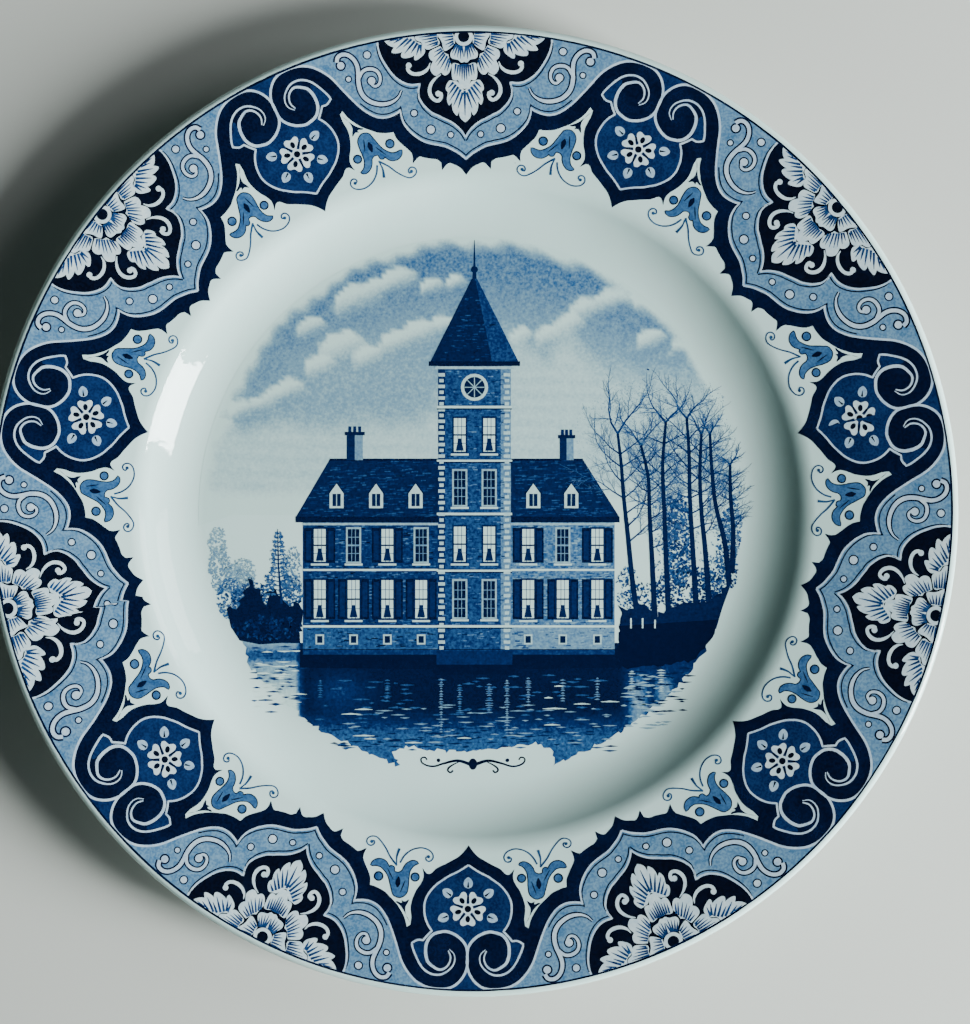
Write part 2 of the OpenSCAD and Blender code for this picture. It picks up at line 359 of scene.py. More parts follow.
plateSkin = makePlateSkin()
standingEdge = splitBareEdge(plateSkin)
plateSkin.data.materials.append(finishes["whiteGlaze"])
standingEdge.data.materials.append(finishes["bareBiscuit"])
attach(plateSkin, "root")
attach(standingEdge, "root")
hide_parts("outer_glaze", "foot_recess_glaze")
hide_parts("earthenware_body")
print("plate turned:", len(plateSkin.data.polygons), "faces")

# drawing kit: flat shapes in millimetres, then laid on the plate's face
motif = {"count": 7, "flowers": (39.8, 91.1, 141.3, 191.8, 243.7, 295.0, 347.3),
         "medallions": (65.4, 116.2, 166.3, 218.9, 269.3, 321.1, 373.5), "drawnHalf": 25.0,
         "edge": 122.85, "seamFlower": 3, "seamAfter": 2.6, "seamShift": 2.0, "seamFade": 34.0,
         "seamEase": 10.0}
# millimetres that each layer, shape and mirrored half lies above the one before, so that none touch
lifts = {"first": 0.028, "layer": 0.0115, "shape": 0.0003, "shapeCycle": 12, "mirrored": 0.0015}
pitch = 360 / motif["count"]


def joinedCurve(points, step=0.45):
    # a smooth line through the points; a third value marks a sharp corner
    corners = [0] + [i for i in range(1, len(points) - 1) if len(points[i]) > 2] + [len(points) - 1]
    made = []
    for first, last in zip(corners, corners[1:]):
        run = np.array([p[:2] for p in points[first:last + 1]], float)
        padded = np.vstack([2 * run[0] - run[1], run, 2 * run[-1] - run[-2]])
        for i in range(len(run) - 1):
            before, start, end, after = padded[i:i + 4]
            length = np.linalg.norm(end - start)
            inward = (end - before) * length / max(np.linalg.norm(end - before), 1e-6)
            onward = (after - start) * length / max(np.linalg.norm(after - start), 1e-6)
            steps = max(1, int(math.ceil(length / step)))
            for k in range(steps):
                t = k / steps
                made.append(start * (2 * t ** 3 - 3 * t ** 2 + 1) + inward * (t ** 3 - 2 * t ** 2 + t)
                            + end * (3 * t ** 2 - 2 * t ** 3) + onward * (t ** 3 - t ** 2))
        if last == len(points) - 1:
            made.append(run[-1])
    return np.array(made)


def straight(points, step=1.2):
    # a line of straight stretches with points along it
    made = []
    for start, end in zip(points, points[1:]):
        start, end = np.array(start[:2], float), np.array(end[:2], float)
        steps = max(1, int(math.ceil(np.linalg.norm(end - start) / step)))
        made += [start + (end - start) * k / steps for k in range(steps)]
    return np.array(made + [np.array(points[-1][:2], float)])


def insideLoop(spots, loop):
    odd = np.zeros(len(spots), bool)
    ends = np.roll(loop, -1, axis=0)
    for (x1, y1), (x2, y2) in zip(loop, ends):
        if y1 == y2:
            continue
        crosses = ((y1 > spots[:, 1]) != (y2 > spots[:, 1]))
        odd ^= crosses & (spots[:, 0] < (x2 - x1) * (spots[:, 1] - y1) / (y2 - y1) + x1)
    return odd


def filled(loop, grid=2.2):
    # a closed outline turned into triangles, with points inside it so that it can follow the face
    loop = np.asarray(loop, float)
    keep = np.linalg.norm(loop - np.roll(loop, 1, axis=0), axis=1) > 1e-4
    loop = loop[keep]
    low, high = loop.min(0), loop.max(0)
    inner = np.empty((0, 2))
    if (high - low).min() > grid:
        xs = np.arange(low[0] + grid / 2, high[0], grid)
        ys = np.arange(low[1] + grid / 2, high[1], grid)
        inner = np.array([(x, y) for x in xs for y in ys])
        inner = inner[insideLoop(inner, loop)]
        if len(inner):
            near = np.min(np.linalg.norm(inner[:, None, :] - loop[None, :, :], axis=2), axis=1)
            inner = inner[near > grid * 0.35]
    every = np.vstack([loop, inner])
    edges = [(i, (i + 1) % len(loop)) for i in range(len(loop))]
    verts, _, faces, _, _, _ = geometry.delaunay_2d_cdt([tuple(p) for p in every], edges, [], 0, 1e-5)
    verts = np.array([tuple(v) for v in verts])
    faces = np.array(faces)
    faces = faces[insideLoop(verts[faces].mean(1), loop)]
    return verts, faces


def stroked(line, widths):
    # a line drawn with a pen whose width varies along it
    line = np.asarray(line, float)
    ahead = np.gradient(line, axis=0)
    ahead /= np.maximum(np.linalg.norm(ahead, axis=1, keepdims=True), 1e-9)
    side = np.column_stack([-ahead[:, 1], ahead[:, 0]])
    widths = np.atleast_1d(widths)
    half = np.interp(np.linspace(0, 1, len(line)), np.linspace(0, 1, len(widths)), widths)[:, None] / 2
    verts = np.vstack([line + side * half, line - side * half])
    count = len(line)
    faces = []
    for i in range(count - 1):
        faces += [(i, i + count, i + 1), (i + 1, i + count, i + 1 + count)]
    return verts, np.array(faces)


def disc(x, y, radius, wide=None, turn=0.0, steps=20):
    angles = np.linspace(0, 2 * math.pi, steps, endpoint=False)
    along = np.cos(angles) * radius
    across = np.sin(angles) * (radius if wide is None else wide)
    c, s = math.cos(math.radians(turn)), math.sin(math.radians(turn))
    ring = np.column_stack([x + along * c - across * s, y + along * s + across * c])
    return np.vstack([ring, [(x, y)]]), np.array([(i, (i + 1) % steps, steps) for i in range(steps)])


def ringShape(x, y, outer, inner, steps=24):
    angles = np.linspace(0, 2 * math.pi, steps, endpoint=False)
    unit = np.column_stack([np.cos(angles), np.sin(angles)])
    verts = np.vstack([unit * outer, unit * inner]) + (x, y)
    faces = []
    for i in range(steps):
        j = (i + 1) % steps
        faces += [(i, j, i + steps), (j, j + steps, i + steps)]
    return verts, np.array(faces)


def fromMedallion(points):
    # points drawn about the medallion's axis, as seen from the flower's axis
    made = []
    for point in points:
        turn = math.radians(motif["drawnHalf"]) - math.atan2(point[0], point[1])
        r = math.hypot(point[0], point[1])
        made.append((r * math.sin(turn), r * math.cos(turn)) + tuple(point[2:]))
    return made


def toBorder(flat, number, mirrored):
    # a flat drawing about a flower's axis, laid at flower number, clockwise or mirrored
    r = np.hypot(flat[:, 0], flat[:, 1])
    turn = np.degrees(np.arctan2(flat[:, 0], flat[:, 1])) * (pitch / 2) / motif["drawnHalf"]
    strip = number * pitch + (turn if mirrored else -turn)
    # the transfer was stretched here and there, so the axes aren't quite evenly spaced
    places = [angle for pair in zip(motif["flowers"], motif["medallions"]) for angle in pair]
    places = [places[-1] - 360] + places + [places[0] + 360, places[1] + 360]
    azimuth = np.interp(strip, [(i - 1) * pitch / 2 for i in range(len(places))], places)
    # its two ends meet a little out of line
    past = azimuth - motif["flowers"][motif["seamFlower"]] - motif["seamAfter"]
    fade = np.clip(1 - past / motif["seamFade"], 0, 1) * (past > 0)
    r = r - motif["seamShift"] * fade * np.clip((motif["edge"] - r) / motif["seamEase"], 0, 1)
    r = np.minimum(r, motif["edge"])
    azimuth = np.radians(azimuth)
    return np.column_stack([r * np.cos(azimuth), r * np.sin(azimuth)])


class Print:
    # one printed piece: shapes gathered in millimetres and laid on the face as a thin film
    def __init__(self, name, finish, slot, layer):
        self.name, self.finish, self.slotName = name, finish, slot
        self.lift = lifts["first"] + lifts["layer"] * layer
        self.verts, self.faces, self.count, self.shapes = [], [], 0, 0

    def add(self, shape, extra=0.0):
        flat, faces = shape
        a, b, c = (flat[faces[:, k]] for k in range(3))
        turn = (b[:, 0] - a[:, 0]) * (c[:, 1] - a[:, 1]) - (b[:, 1] - a[:, 1]) * (c[:, 0] - a[:, 0])
        faces = faces[np.abs(turn) > 1e-7]
        turn = turn[np.abs(turn) > 1e-7]
        faces[turn < 0] = faces[turn < 0][:, ::-1]
        r = np.hypot(flat[:, 0], flat[:, 1])
        z, lean = faceHeight(r)
        lift = self.lift + extra + lifts["shape"] * (self.shapes % lifts["shapeCycle"])
        outward = lean * lift / np.maximum(r, 1e-6)
        self.verts.append(np.column_stack([flat[:, 0] * (1 + outward), flat[:, 1] * (1 + outward),
                                           z + lift * np.sqrt(1 - lean ** 2)]))
        self.faces.append(faces + self.count)
        self.count += len(flat)
        self.shapes += 1

    def border(self, shape, once=False):
        # repeats a shape round the border, with its mirror image, or once where it is its own
        for number in range(motif["count"]):
            for mirrored in ((False,) if once else (False, True)):
                laid = toBorder(shape[0], number, mirrored)
                self.add((laid, shape[1].copy()), lifts["mirrored"] * mirrored)
                self.shapes -= 1
        self.shapes += 1

    def curves(self, *drawn):
        # smooth pen lines round the border, each given as its points and its widths
        for points, widths in drawn:
            self.border(stroked(joinedCurve(points), widths))

    def dots(self, *drawn):
        for x, y, radius in drawn:
            self.border(disc(x, y, radius))

    def make(self, *nodes):
        verts = np.vstack(self.verts) * mm
        piece = newObject(self.name, verts, np.vstack(self.faces))
        co = np.zeros(len(piece.data.vertices) * 3)
        piece.data.vertices.foreach_get("co", co)
        co = co.reshape(-1, 3) / mm
        r = np.hypot(co[:, 0], co[:, 1])
        lean = faceHeight(np.minimum(r, motif["edge"]))[1]
        outward = lean / np.maximum(r, 1e-6)
        normals = np.column_stack([co[:, 0] * outward, co[:, 1] * outward, np.sqrt(1 - lean ** 2)])
        piece.data.shade_smooth()
        piece.data.normals_split_custom_set_from_vertices([tuple(n) for n in normals])
        piece.data.materials.append(finishes[self.finish])
        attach(piece, "root")
        if nodes:
            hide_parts(*nodes)
        print("printed", self.name, len(piece.data.polygons), "faces")
        return piece


# the border, half a motif: x along the rim, y outward; ribbonEdgeEnd, volute and fieldEdge are drawn
# from the medallion's axis, and the rest from the flower's
ribbonEdge = ((0, 87.2, 1), (1.5, 89), (3, 89.8), (4.5, 90.2), (6.2, 88.5, 1), (6.4, 90.4, 1), (7.5, 91.2),
              (9, 91.4), (11, 91.8), (12, 92), (13.7, 90.3, 1), (13.7, 92), (14, 93, 1), (15, 94),
              (16.5, 95.3), (17.8, 96.7), (18.5, 98.3, 1), (20, 98.1), (22.5, 98.2), (24, 98.7),
              (26.4, 99.6), (28, 100.5), (30, 102), (31.5, 103.8, 1), (32.1, 102.9))
ribbonEdgeEnd = ((14.2, 105), (14.4, 103), (14.3, 101.5), (13.8, 99.8), (13, 98), (12, 96.5), (11.3, 95),
                 (11.3, 93.8), (11.6, 92.5, 1), (10, 94), (8, 92.5), (6, 91.5), (4, 90.4), (2.5, 89.5),
                 (1, 88), (0, 86.6))
innerEdge = ((0, 91.2), (1.5, 92.5), (3, 93.4), (5, 94.4), (7, 94.9), (9, 95.3), (11, 96), (13, 97.3),
             (14.5, 98.7), (15.7, 100.3), (16.3, 102), (16.6, 103.9, 1), (17, 103.4), (18.5, 102.6),
             (20, 102.1), (21.5, 102), (23, 102.3), (25, 103.3), (27, 104.8))
volute = ((18.3, 110.5), (17.5, 113), (16.5, 116), (15, 118.6), (13, 120.8), (11, 122), (9, 122.6),
          (7, 122.8), (5, 122.7), (3.2, 122), (1.7, 120.7), (0.6, 119), (0, 117), (0, 114.3), (0.2, 112.5),
          (1, 111), (2.5, 109.6), (4, 108.8), (5.5, 108.4), (7, 108.6), (8.5, 109.1), (9.6, 110.1),
          (10.3, 111.5), (10.5, 113), (10.4, 114.5), (9.8, 116.2), (8.5, 117.3), (7, 118), (5.6, 117.6),
          (4.6, 116.5), (4.2, 114.8), (4.8, 113.2))
cartoucheEdge = ((22.2, 122.6), (22.1, 120.9), (22, 119.5), (21.3, 117.3), (20.2, 115.3), (18.6, 113),
                 (17, 111.5), (15, 110.4), (13.3, 110.1), (11.5, 110.3, 1), (11.9, 108.5), (11.8, 107),
                 (11.3, 106), (10.5, 104.8), (8.5, 103), (7, 102.3), (5.5, 101.5), (4, 100.8), (2.5, 99.8),
                 (1, 98.3), (0, 96.7))
fieldEdge = ((0, 91.6), (1.5, 92.6), (3, 93.5), (5, 94.5), (6.5, 95.5), (8, 96.6), (9.3, 98), (10.3, 99.5),
             (10.9, 101.2), (11, 103), (10.7, 105), (10, 106.8), (9, 108.3, 1), (10, 109.3),
             (11.2, 110.7, 1), (12.5, 110.6), (14, 111.4, 1), (13.8, 112.5), (13, 114.5), (12, 116.5),
             (10.8, 118), (9.2, 119), (7.5, 119.3), (6, 119), (4.5, 118), (3.5, 116.8), (3.1, 115.3),
             (3.4, 114), (4.5, 112.9))


def rimArc(start, end, steps=24):
    # points along the border's outer edge, from one angle to another, about the flower's axis
    angles = np.radians(np.linspace(start, end, steps))
    return np.column_stack([np.sin(angles), np.cos(angles)]) * motif["edge"]


def axisLine(angle, start, end, step=1.0):
    # points along the axis at that angle between two radii
    radii = np.linspace(start, end, max(2, int(abs(end - start) / step)))
    turn = math.radians(angle)
    return np.column_stack([radii * math.sin(turn), radii * math.cos(turn)])


half = motif["drawnHalf"]
edge = motif["edge"]
ribbonInner = np.vstack([joinedCurve(ribbonEdge, 0.6), joinedCurve(fromMedallion(ribbonEdgeEnd), 0.6)])
print("drawing kit ready")

ribbon = Print("ribbonInk", "navyInk", "navy_print", 0)
ribbon.border(filled(np.vstack([ribbonInner, axisLine(half, ribbonEdgeEnd[-1][1], edge)[1:],
                                rimArc(half, 0)[1:], axisLine(0, edge, ribbonEdge[0][1])[1:-1]]), 1.9))
ribbon.make("ribbon_print")

# pale mottled band between the two white lines, with ringed dots in it
bandDots = ((3.8, 97.4, 0.65), (8.9, 98.8, 1.0), (13.1, 103.0, 0.75), (24.8, 117.8, 0.85), (29.7, 111.8, 0.6))
bandInner = joinedCurve(list(innerEdge) + fromMedallion(volute[:6]), 0.8)
band = Print("bandInk", "bandInk", "pale_print", 1)
endTurn = math.degrees(math.atan2(*bandInner[-1]))
startTurn = math.degrees(math.atan2(*cartoucheEdge[0]))
band.border(filled(np.vstack([bandInner, rimArc(endTurn, startTurn, 12), joinedCurve(cartoucheEdge, 0.8),
                              axisLine(0, cartoucheEdge[-1][1], innerEdge[0][1])[1:-1]]), 2.0))
band.make("pale_band_prints")

bandDark = Print("bandDarkLines", "navyInk", "navy_print", 2)
bandDark.curves(([(x - 0.1, y + 0.85, *corner) for x, y, *corner in innerEdge], (0.36,)),
                ([(x + 0.15, y - 0.85, *corner) for x, y, *corner in cartoucheEdge[1:]], (0.36,)))
bandDark.dots(*((x, y, radius + 0.33) for x, y, radius in bandDots))
scroll = ((32.6, 116), (32.3, 117.3), (31, 118), (29.5, 117.7), (28.2, 116.6), (27.4, 115), (27.2, 113),
          (27.2, 111), (26.8, 109), (26, 107.5), (24.5, 106.2), (22.5, 105.5), (20.5, 105.4), (18.5, 106),
          (17, 107.2), (16.2, 108.8))
scrollBranch = ((27, 112), (26, 113.7), (24.3, 114.3), (22.5, 113.8), (21.6, 112.2), (21.9, 110.5),
                (23, 109.9), (24, 110.6))
scrollEnds = ((31.6, 115.2), (23.8, 111.3))
bandDark.curves((scroll, (1.9, 1.75, 1.8, 1.8, 1.7, 0.8)), (scrollBranch, (1.5, 1.6, 1.4, 1.2)))
bandDark.dots((*scrollEnds[0], 1.35), (*scrollEnds[1], 1.3))
bandDark.make()

bandWhite = Print("bandWhiteScrolls", "lineWhite", "pale_print", 3)
bandWhite.curves((scroll, (0.95, 0.9, 1.0, 1.05, 0.9, 0.2)), (scrollBranch, (0.7, 0.85, 0.7, 0.6)))
bandWhite.dots((*scrollEnds[0], 0.92), (*scrollEnds[1], 0.95), *bandDots)
bandWhite.make()

# the dark cartouche under each half-flower at the rim
cartouche = Print("cartoucheInk", "blackInk", "navy_print", 1)
cartoucheAxis = axisLine(0, cartoucheEdge[-1][1], edge)
cartouche.border(filled(np.vstack([joinedCurve(cartoucheEdge, 0.8), cartoucheAxis[1:],
                                   rimArc(0, startTurn, 14)[1:]]), 2.0))
cartouche.make("cartouche_prints")

petals = (
    ((0, 119.5, 1), (0, 117.5), (0, 115.7, 1), (0.7, 115.5), (1.5, 116.2), (2.5, 116.4), (3.3, 116.8),
     (3.4, 118), (2, 119.8, 1), (0, 119.5)),
    ((2.3, 120.3, 1), (3.2, 119.4), (4.2, 118.7), (4.9, 118.5), (5.3, 119.2), (5.5, 120.4), (5.9, 121.3),
     (6.5, 122.2), (6.4, 123.2, 1), (3, 123.2, 1), (2.3, 121.8), (2.3, 120.3)),
    ((0, 115.1, 1), (1, 115), (2.2, 115.4), (3, 115.2), (3.2, 113.5), (3.2, 112.2), (2.9, 111.2),
     (2.3, 111.0), (1.6, 111.2, 1), (1.3, 110.2), (0.7, 109.1), (0, 108.9, 1), (0, 112, 1), (0, 115.1)),
    ((3.2, 114.8, 1), (3.8, 113.2), (4.5, 112.5), (5.2, 112.4), (5.9, 113.1, 1), (6.5, 112.7), (7.2, 112.3),
     (7.9, 112.6), (8.6, 113.6), (8.6, 114.6), (8, 115.9, 1), (8.7, 116.5), (9, 117.4), (8.8, 118.3),
     (8, 118.9), (6.8, 119.4), (6, 119.7, 1), (5.4, 118.9), (4.9, 118.0), (4, 117.6, 1), (3.8, 116.4),
     (3.5, 115.5), (3.2, 114.8)),
    ((6.4, 122.9, 1), (6.7, 121.8), (6.2, 120.9), (6.3, 120.1), (7.2, 119.6), (8.4, 119.1), (9.3, 118.9),
     (10.1, 119.3), (10.5, 120), (10.9, 120.8, 1), (12.1, 121.3), (12.5, 121.9), (12.3, 122.6, 1),
     (9.5, 122.8), (6.4, 122.9)),
    ((10.8, 120.4, 1), (10.3, 119.6), (9.9, 118.7), (10.3, 117.7), (11.2, 116.9), (12.2, 116.3),
     (12.7, 116.4), (12.75, 117.5, 1), (13.3, 117.2), (14.4, 116.9), (15.6, 116.9), (16.1, 117.3),
     (16, 118), (15.7, 118.5, 1), (16.6, 118.2), (17.8, 118.1), (18.5, 118.3), (18.4, 118.8),
     (17.9, 119.6, 1), (18.8, 119.9), (19.9, 120.7), (20.3, 121.3, 1), (19, 121.6), (17, 122),
     (14.5, 122.4), (13, 122.6), (12.6, 121.8), (12.2, 121), (11.4, 120.7), (10.8, 120.4)),
    ((0, 108.5, 1), (0.8, 109.3), (1.4, 110.3), (1.9, 110.8), (2.6, 110.9), (3.5, 111.1), (4, 110.9),
     (4.7, 109.8), (4.8, 108.8), (4.3, 108.1, 1), (4.4, 107.5), (4.6, 106.4), (4.4, 105.4), (4, 104.8),
     (3.8, 105), (3.3, 105.6, 1), (3.3, 104.3), (3, 103.2), (2.5, 102.5), (2.1, 102.2), (1.7, 102.9),
     (1.5, 103.3, 1), (1.4, 102), (0.9, 101.2), (0, 100.5, 1), (0, 104, 1), (0, 108.5)))
hooks = (((6, 112.6), (7.5, 111.6), (8.7, 110), (9, 108.3), (8.3, 106.7), (7, 106), (6.2, 106.6),
          (6.1, 107.8), (6.8, 107.8)),
         ((8.7, 115.6), (9.2, 114.3), (10.5, 113.2), (12.3, 112.8), (13.8, 113.2), (14.5, 114.2),
          (14.2, 115)))
flowerWhite = Print("flowerPetals", "petalWhite", "pale_print", 2)
for petal in petals:
    flowerWhite.border(filled(joinedCurve(petal, 0.4)[:-1], 1.6))
for hook in hooks:
    flowerWhite.curves((hook, (0.15, 0.75, 0.95, 0.85, 0.9)))
    flowerWhite.dots((*hook[-1], 0.72))
flowerWhite.border(ringShape(0, 122.0, 2.35, 1.45), once=True)
flowerWhite.make()

# engraved shading on the petals: strokes that fan out from the base, thinning to the tip
hatches = (((0.55, 119.7), (0.1, 116.9)), ((0.8, 119.8), (0.9, 116.4)), ((1.1, 119.8), (1.7, 116.8)),
           ((1.5, 119.9), (2.5, 117.2)), ((1.9, 120.1), (3.0, 117.9)),
           ((2.5, 120.4), (4.0, 119.4)), ((2.6, 120.9), (4.7, 120.0)), ((2.6, 121.5), (5.0, 121.0)),
           ((2.6, 122.1), (5.5, 121.9)), ((2.8, 122.7), (5.6, 122.7)),
           ((0.0, 115.1), (0.0, 110.8)), ((0.5, 115.1), (0.6, 111.2)), ((1.0, 115.0), (1.2, 112.0)),
           ((1.5, 115.0), (1.9, 112.2)), ((2.1, 115.2), (2.5, 112.6)),
           ((3.6, 116.0), (4.4, 113.4)), ((3.9, 116.6), (5.1, 113.6)), ((4.3, 117.2), (6.2, 114.0)),
           ((4.8, 117.7), (7.0, 114.8)), ((5.1, 118.2), (7.4, 115.6)), ((5.4, 118.7), (7.7, 117.0)),
           ((5.7, 119.1), (7.6, 118.2)), ((6.6, 120.3), (8.4, 119.6)), ((6.5, 120.8), (9.4, 119.9)),
           ((6.7, 121.4), (10.0, 120.6)), ((6.8, 121.9), (10.8, 121.3)), ((6.8, 122.5), (11.4, 122.0)))
veins = (((11.0, 120.2), (11.0, 117.8)), ((11.3, 120.2), (12.2, 117.5)), ((11.8, 120.6), (13.6, 118.0)),
         ((12.5, 121.1), (15.2, 118.0)), ((13.3, 121.6), (15.5, 119.6)), ((14.2, 121.8), (17.3, 119.2)),
         ((15.6, 122.0), (18.0, 120.6)), ((16.8, 121.8), (19.2, 121.1)), ((0, 108.4), (0, 102.2)),
         ((0.5, 108.0), (1.8, 104.0)), ((1.0, 108.8), (3.0, 104.6)), ((1.6, 109.4), (3.9, 106.0)),
         ((2.2, 110.0), (4.2, 107.4)), ((2.8, 110.6), (4.2, 109.2)))
flowerHatch = Print("flowerHatching", "hatchInk", "cobalt_print", 3)
for strokes, widths in ((hatches, (0.52, 0.42, 0.1)), (veins, (0.66, 0.5, 0.12))):
    for line in strokes:
        flowerHatch.border(stroked(straight(line, 0.8), widths))
flowerHatch.make()
print("flowers drawn")

# white reserve lines that edge the band, the cartouche and the medallion
lines = Print("borderWhiteLines", "lineWhite", "pale_print", 2)
lines.curves((list(innerEdge) + fromMedallion(volute), (0.5, 0.5, 0.5, 0.5, 0.55, 0.6, 0.6, 0.7, 0.8, 0.3)),
             (cartoucheEdge, (0.5, 0.5, 0.45)),
             (fromMedallion(fieldEdge), (0.45, 0.48, 0.48, 0.5, 0.5, 0.5, 0.2)))
lines.make()

# blue medallions: the ground, the field between the volutes, and the hollow of each hook
voluteBack = volute[20:12:-1]
medallion = Print("medallionInk", "cobaltInk", "cobalt_print", 1)
ground = np.vstack([joinedCurve(fromMedallion(fieldEdge[:13]), 0.8),
                    joinedCurve(fromMedallion(voluteBack), 0.8),
                    axisLine(half, voluteBack[-1][1], fieldEdge[0][1])[1:-1]])
medallion.border(filled(ground, 2.0))
field = ((0, 118.5, 1), (1.2, 120.7), (3, 122.3), (4.6, edge, 1), (0, edge, 1), (0, 120), (0, 118.5))
hollow = ((9.8, 109.9, 1), (10.9, 111), (12.4, 111), (13.6, 111.8), (13.2, 113.6), (12, 115.6), (10.9, 116.8),
          (10.9, 114.4), (10.9, 112), (9.8, 109.9))
for outline in (field, hollow):
    medallion.border(filled(joinedCurve(fromMedallion(outline), 0.6)[:-1], 2.0))
medallion.make("medallion_prints")

medallionWhite = Print("medallionBlossoms", "petalWhite", "pale_print", 2)
medallionLeaf = Print("medallionLeaves", "leafPale", "pale_print", 2)
medallionDark = Print("medallionDetails", "blackInk", "navy_print", 3)
blossom = {"y": 102.7, "petalTurns": (90, 18, -54), "leafTurns": (-90, -37.6, 20.3), "betweenPetals": 36,
           "heart": 2.55, "gap": ((1.5, 0.0), (3.2, 0.0)), "vein": ((5.4, 0.0), (6.9, 0.0)),
           "eye": 0.85, "eyeRing": 1.3}
petalHalf = ((0.9, 0.3), (1.5, 0.62), (2.2, 1.2), (3.0, 1.8), (3.9, 1.85), (4.3, 1.2), (4.0, 0.4),
             (3.85, 0.0))
leafHalf = ((5.2, 0.0), (5.5, 0.8), (6.3, 1.15), (7.2, 0.95), (7.85, 0.35), (8.0, 0.0))


def turned(points, turn):
    # points out from the blossom's middle, turned about it
    c, s = math.cos(math.radians(turn)), math.sin(math.radians(turn))
    return [(u * c - v * s, blossom["y"] + u * s + v * c) for u, v in points]


def medallionShape(shape):
    flat, faces = shape
    return np.array(fromMedallion([tuple(p) for p in flat])), faces


def wholeLeaf(side, otherSide, turn):
    # a petal or a leaf from the points of its two sides
    outline = turned(list(side) + [(u, -v) for u, v in otherSide], turn)
    return medallionShape(filled(joinedCurve(outline + outline[:1], 0.35)[:-1], 1.4))


def blossomStroke(line, turn, widths):
    return medallionShape(stroked(straight(turned(line, turn), 0.5), widths))


# what lies on the medallion's axis is drawn once, as it is its own mirror image
for turn in blossom["petalTurns"]:
    heart = turned([(blossom["heart"], 0.0)], turn)[0]
    medallionWhite.border(wholeLeaf(petalHalf, petalHalf[::-1][1:], turn), once=turn == 90)
    medallionDark.border(medallionShape(disc(heart[0], heart[1], 0.85, 0.6, turn)), once=turn == 90)
    medallionDark.border(blossomStroke(blossom["gap"], turn - blossom["betweenPetals"], (0.25, 0.25, 0.4)),
                         once=turn == -54)
for turn in blossom["leafTurns"]:
    medallionLeaf.border(wholeLeaf(leafHalf, leafHalf[::-1][1:-1], turn), once=turn == -90)
    medallionDark.border(blossomStroke(blossom["vein"], turn, (0.55, 0.12)), once=turn == -90)
medallionWhite.border(medallionShape(disc(0, blossom["y"], blossom["eyeRing"])), once=True)
medallionDark.border(medallionShape(disc(0, blossom["y"], blossom["eye"])), once=True)
for layer in (medallionWhite, medallionLeaf, medallionDark):
    layer.make()

# tulip sprigs between the ribbon and the shoulder
bell = ((25.5, 98.1, 1), (26.6, 97.9), (27.4, 97), (27.65, 95.9), (27.2, 94.2), (26.6, 92.8), (26.1, 91.2),
        (26.1, 89.9), (26.4, 89), (27.1, 88.2, 1), (26.6, 87.95), (25.7, 88.1), (25, 88.7), (24.5, 89.6),
        (24.3, 90.6), (24.3, 91.5), (23.9, 92.2), (23.5, 92.5, 1), (22.6, 92.6), (22, 91.7), (21.2, 91.7),
        (21, 92.2, 1), (20.4, 91.8), (19.6, 91.3), (18.5, 91.2), (17.4, 91.6), (16.6, 92.6),
        (16.5, 93.7, 1), (17, 93.6), (17.8, 93.2), (19, 93), (20, 93.3), (21, 93.8), (22, 94.6), (23, 95.8),
        (24, 97), (24.8, 97.9), (25.5, 98.1))
stem = ((31.8, 102.5, 1), (29.8, 101), (28.3, 100), (27, 99.5), (26.2, 99.3), (26.7, 99, 1), (27.7, 98.9),
        (27.3, 98.3, 1), (28.3, 98.3), (28.7, 97.7), (29.05, 97.3, 1), (29.1, 98.3), (29, 99.3),
        (29.6, 100.6), (30.6, 101.7), (31.8, 102.5))
tendrils = (((22.5, 91), (20, 89.7), (18, 88.2), (16, 87.1), (14.5, 86.7), (13.3, 87.3), (12.8, 88.3),
             (13.3, 89.2), (14.3, 89.3), (14.9, 88.5), (14.6, 87.9), (14, 88.2)),
            ((22.3, 90.7), (21.5, 89), (21.2, 86.8)),
            ((22.9, 90), (23.1, 88), (24, 86), (25.5, 84.6), (27, 84), (28.8, 84.1), (29.8, 85), (29.7, 86.2),
             (28.9, 86.6), (28.2, 86), (28.9, 85.4)))
berries = ((19.5, 95.4), (27.9, 91.6))
tendrilEnds = ((14.1, 88.3, 0.42), (28.7, 85.5, 0.42))
marks = ((((25.0, 95.9), (24.1, 93.3)), (0.3, 1.3, 1.1, 0.3)),
         (((26.2, 96.6), (26.0, 93.4)), (0.15, 0.35, 0.1)),
         (((23.2, 94.6), (20.6, 92.6)), (0.1, 0.35, 0.1)))
bellCurve = joinedCurve(bell, 0.4)
sprig = Print("sprigInk", "navyInk", "cobalt_print", 0)
sprig.border(filled(joinedCurve(stem, 0.4)[:-1], 1.4))
sprig.border(stroked(bellCurve, (0.5,)))
sprig.border(ringShape(*berries[0], 1.25, 0.85))
sprig.border(ringShape(*berries[1], 1.2, 0.8))
sprig.make("sprig_prints")
tulips = Print("sprigTulips", "tulipInk", "cobalt_print", 1)
tulips.border(filled(bellCurve[:-1], 1.5))
tulips.dots((*berries[0], 0.9), (*berries[1], 0.85))
tulips.make()
sprigMarks = Print("sprigMarks", "navyInk", "cobalt_print", 2)
for line, widths in marks:
    sprigMarks.border(stroked(straight(line, 0.5), widths))
sprigMarks.make()
curls = Print("sprigTendrils", "tendrilInk", "cobalt_print", 1)
curls.curves(*zip(tendrils, ((0.5, 0.36, 0.32, 0.4), (0.3, 0.45, 0.7), (0.45, 0.36, 0.34, 0.4))))
curls.dots(*tendrilEnds)
curls.make()

# the line banded round the rim, worn through in a few places
rimLook = {"inner": 122.82, "outer": 123.38, "steps": 720, "wander": 0.06, "wear": 0.16, "wornFrom": 1.55,
           "waves": (5, 11, 23, 57), "seed": 5}


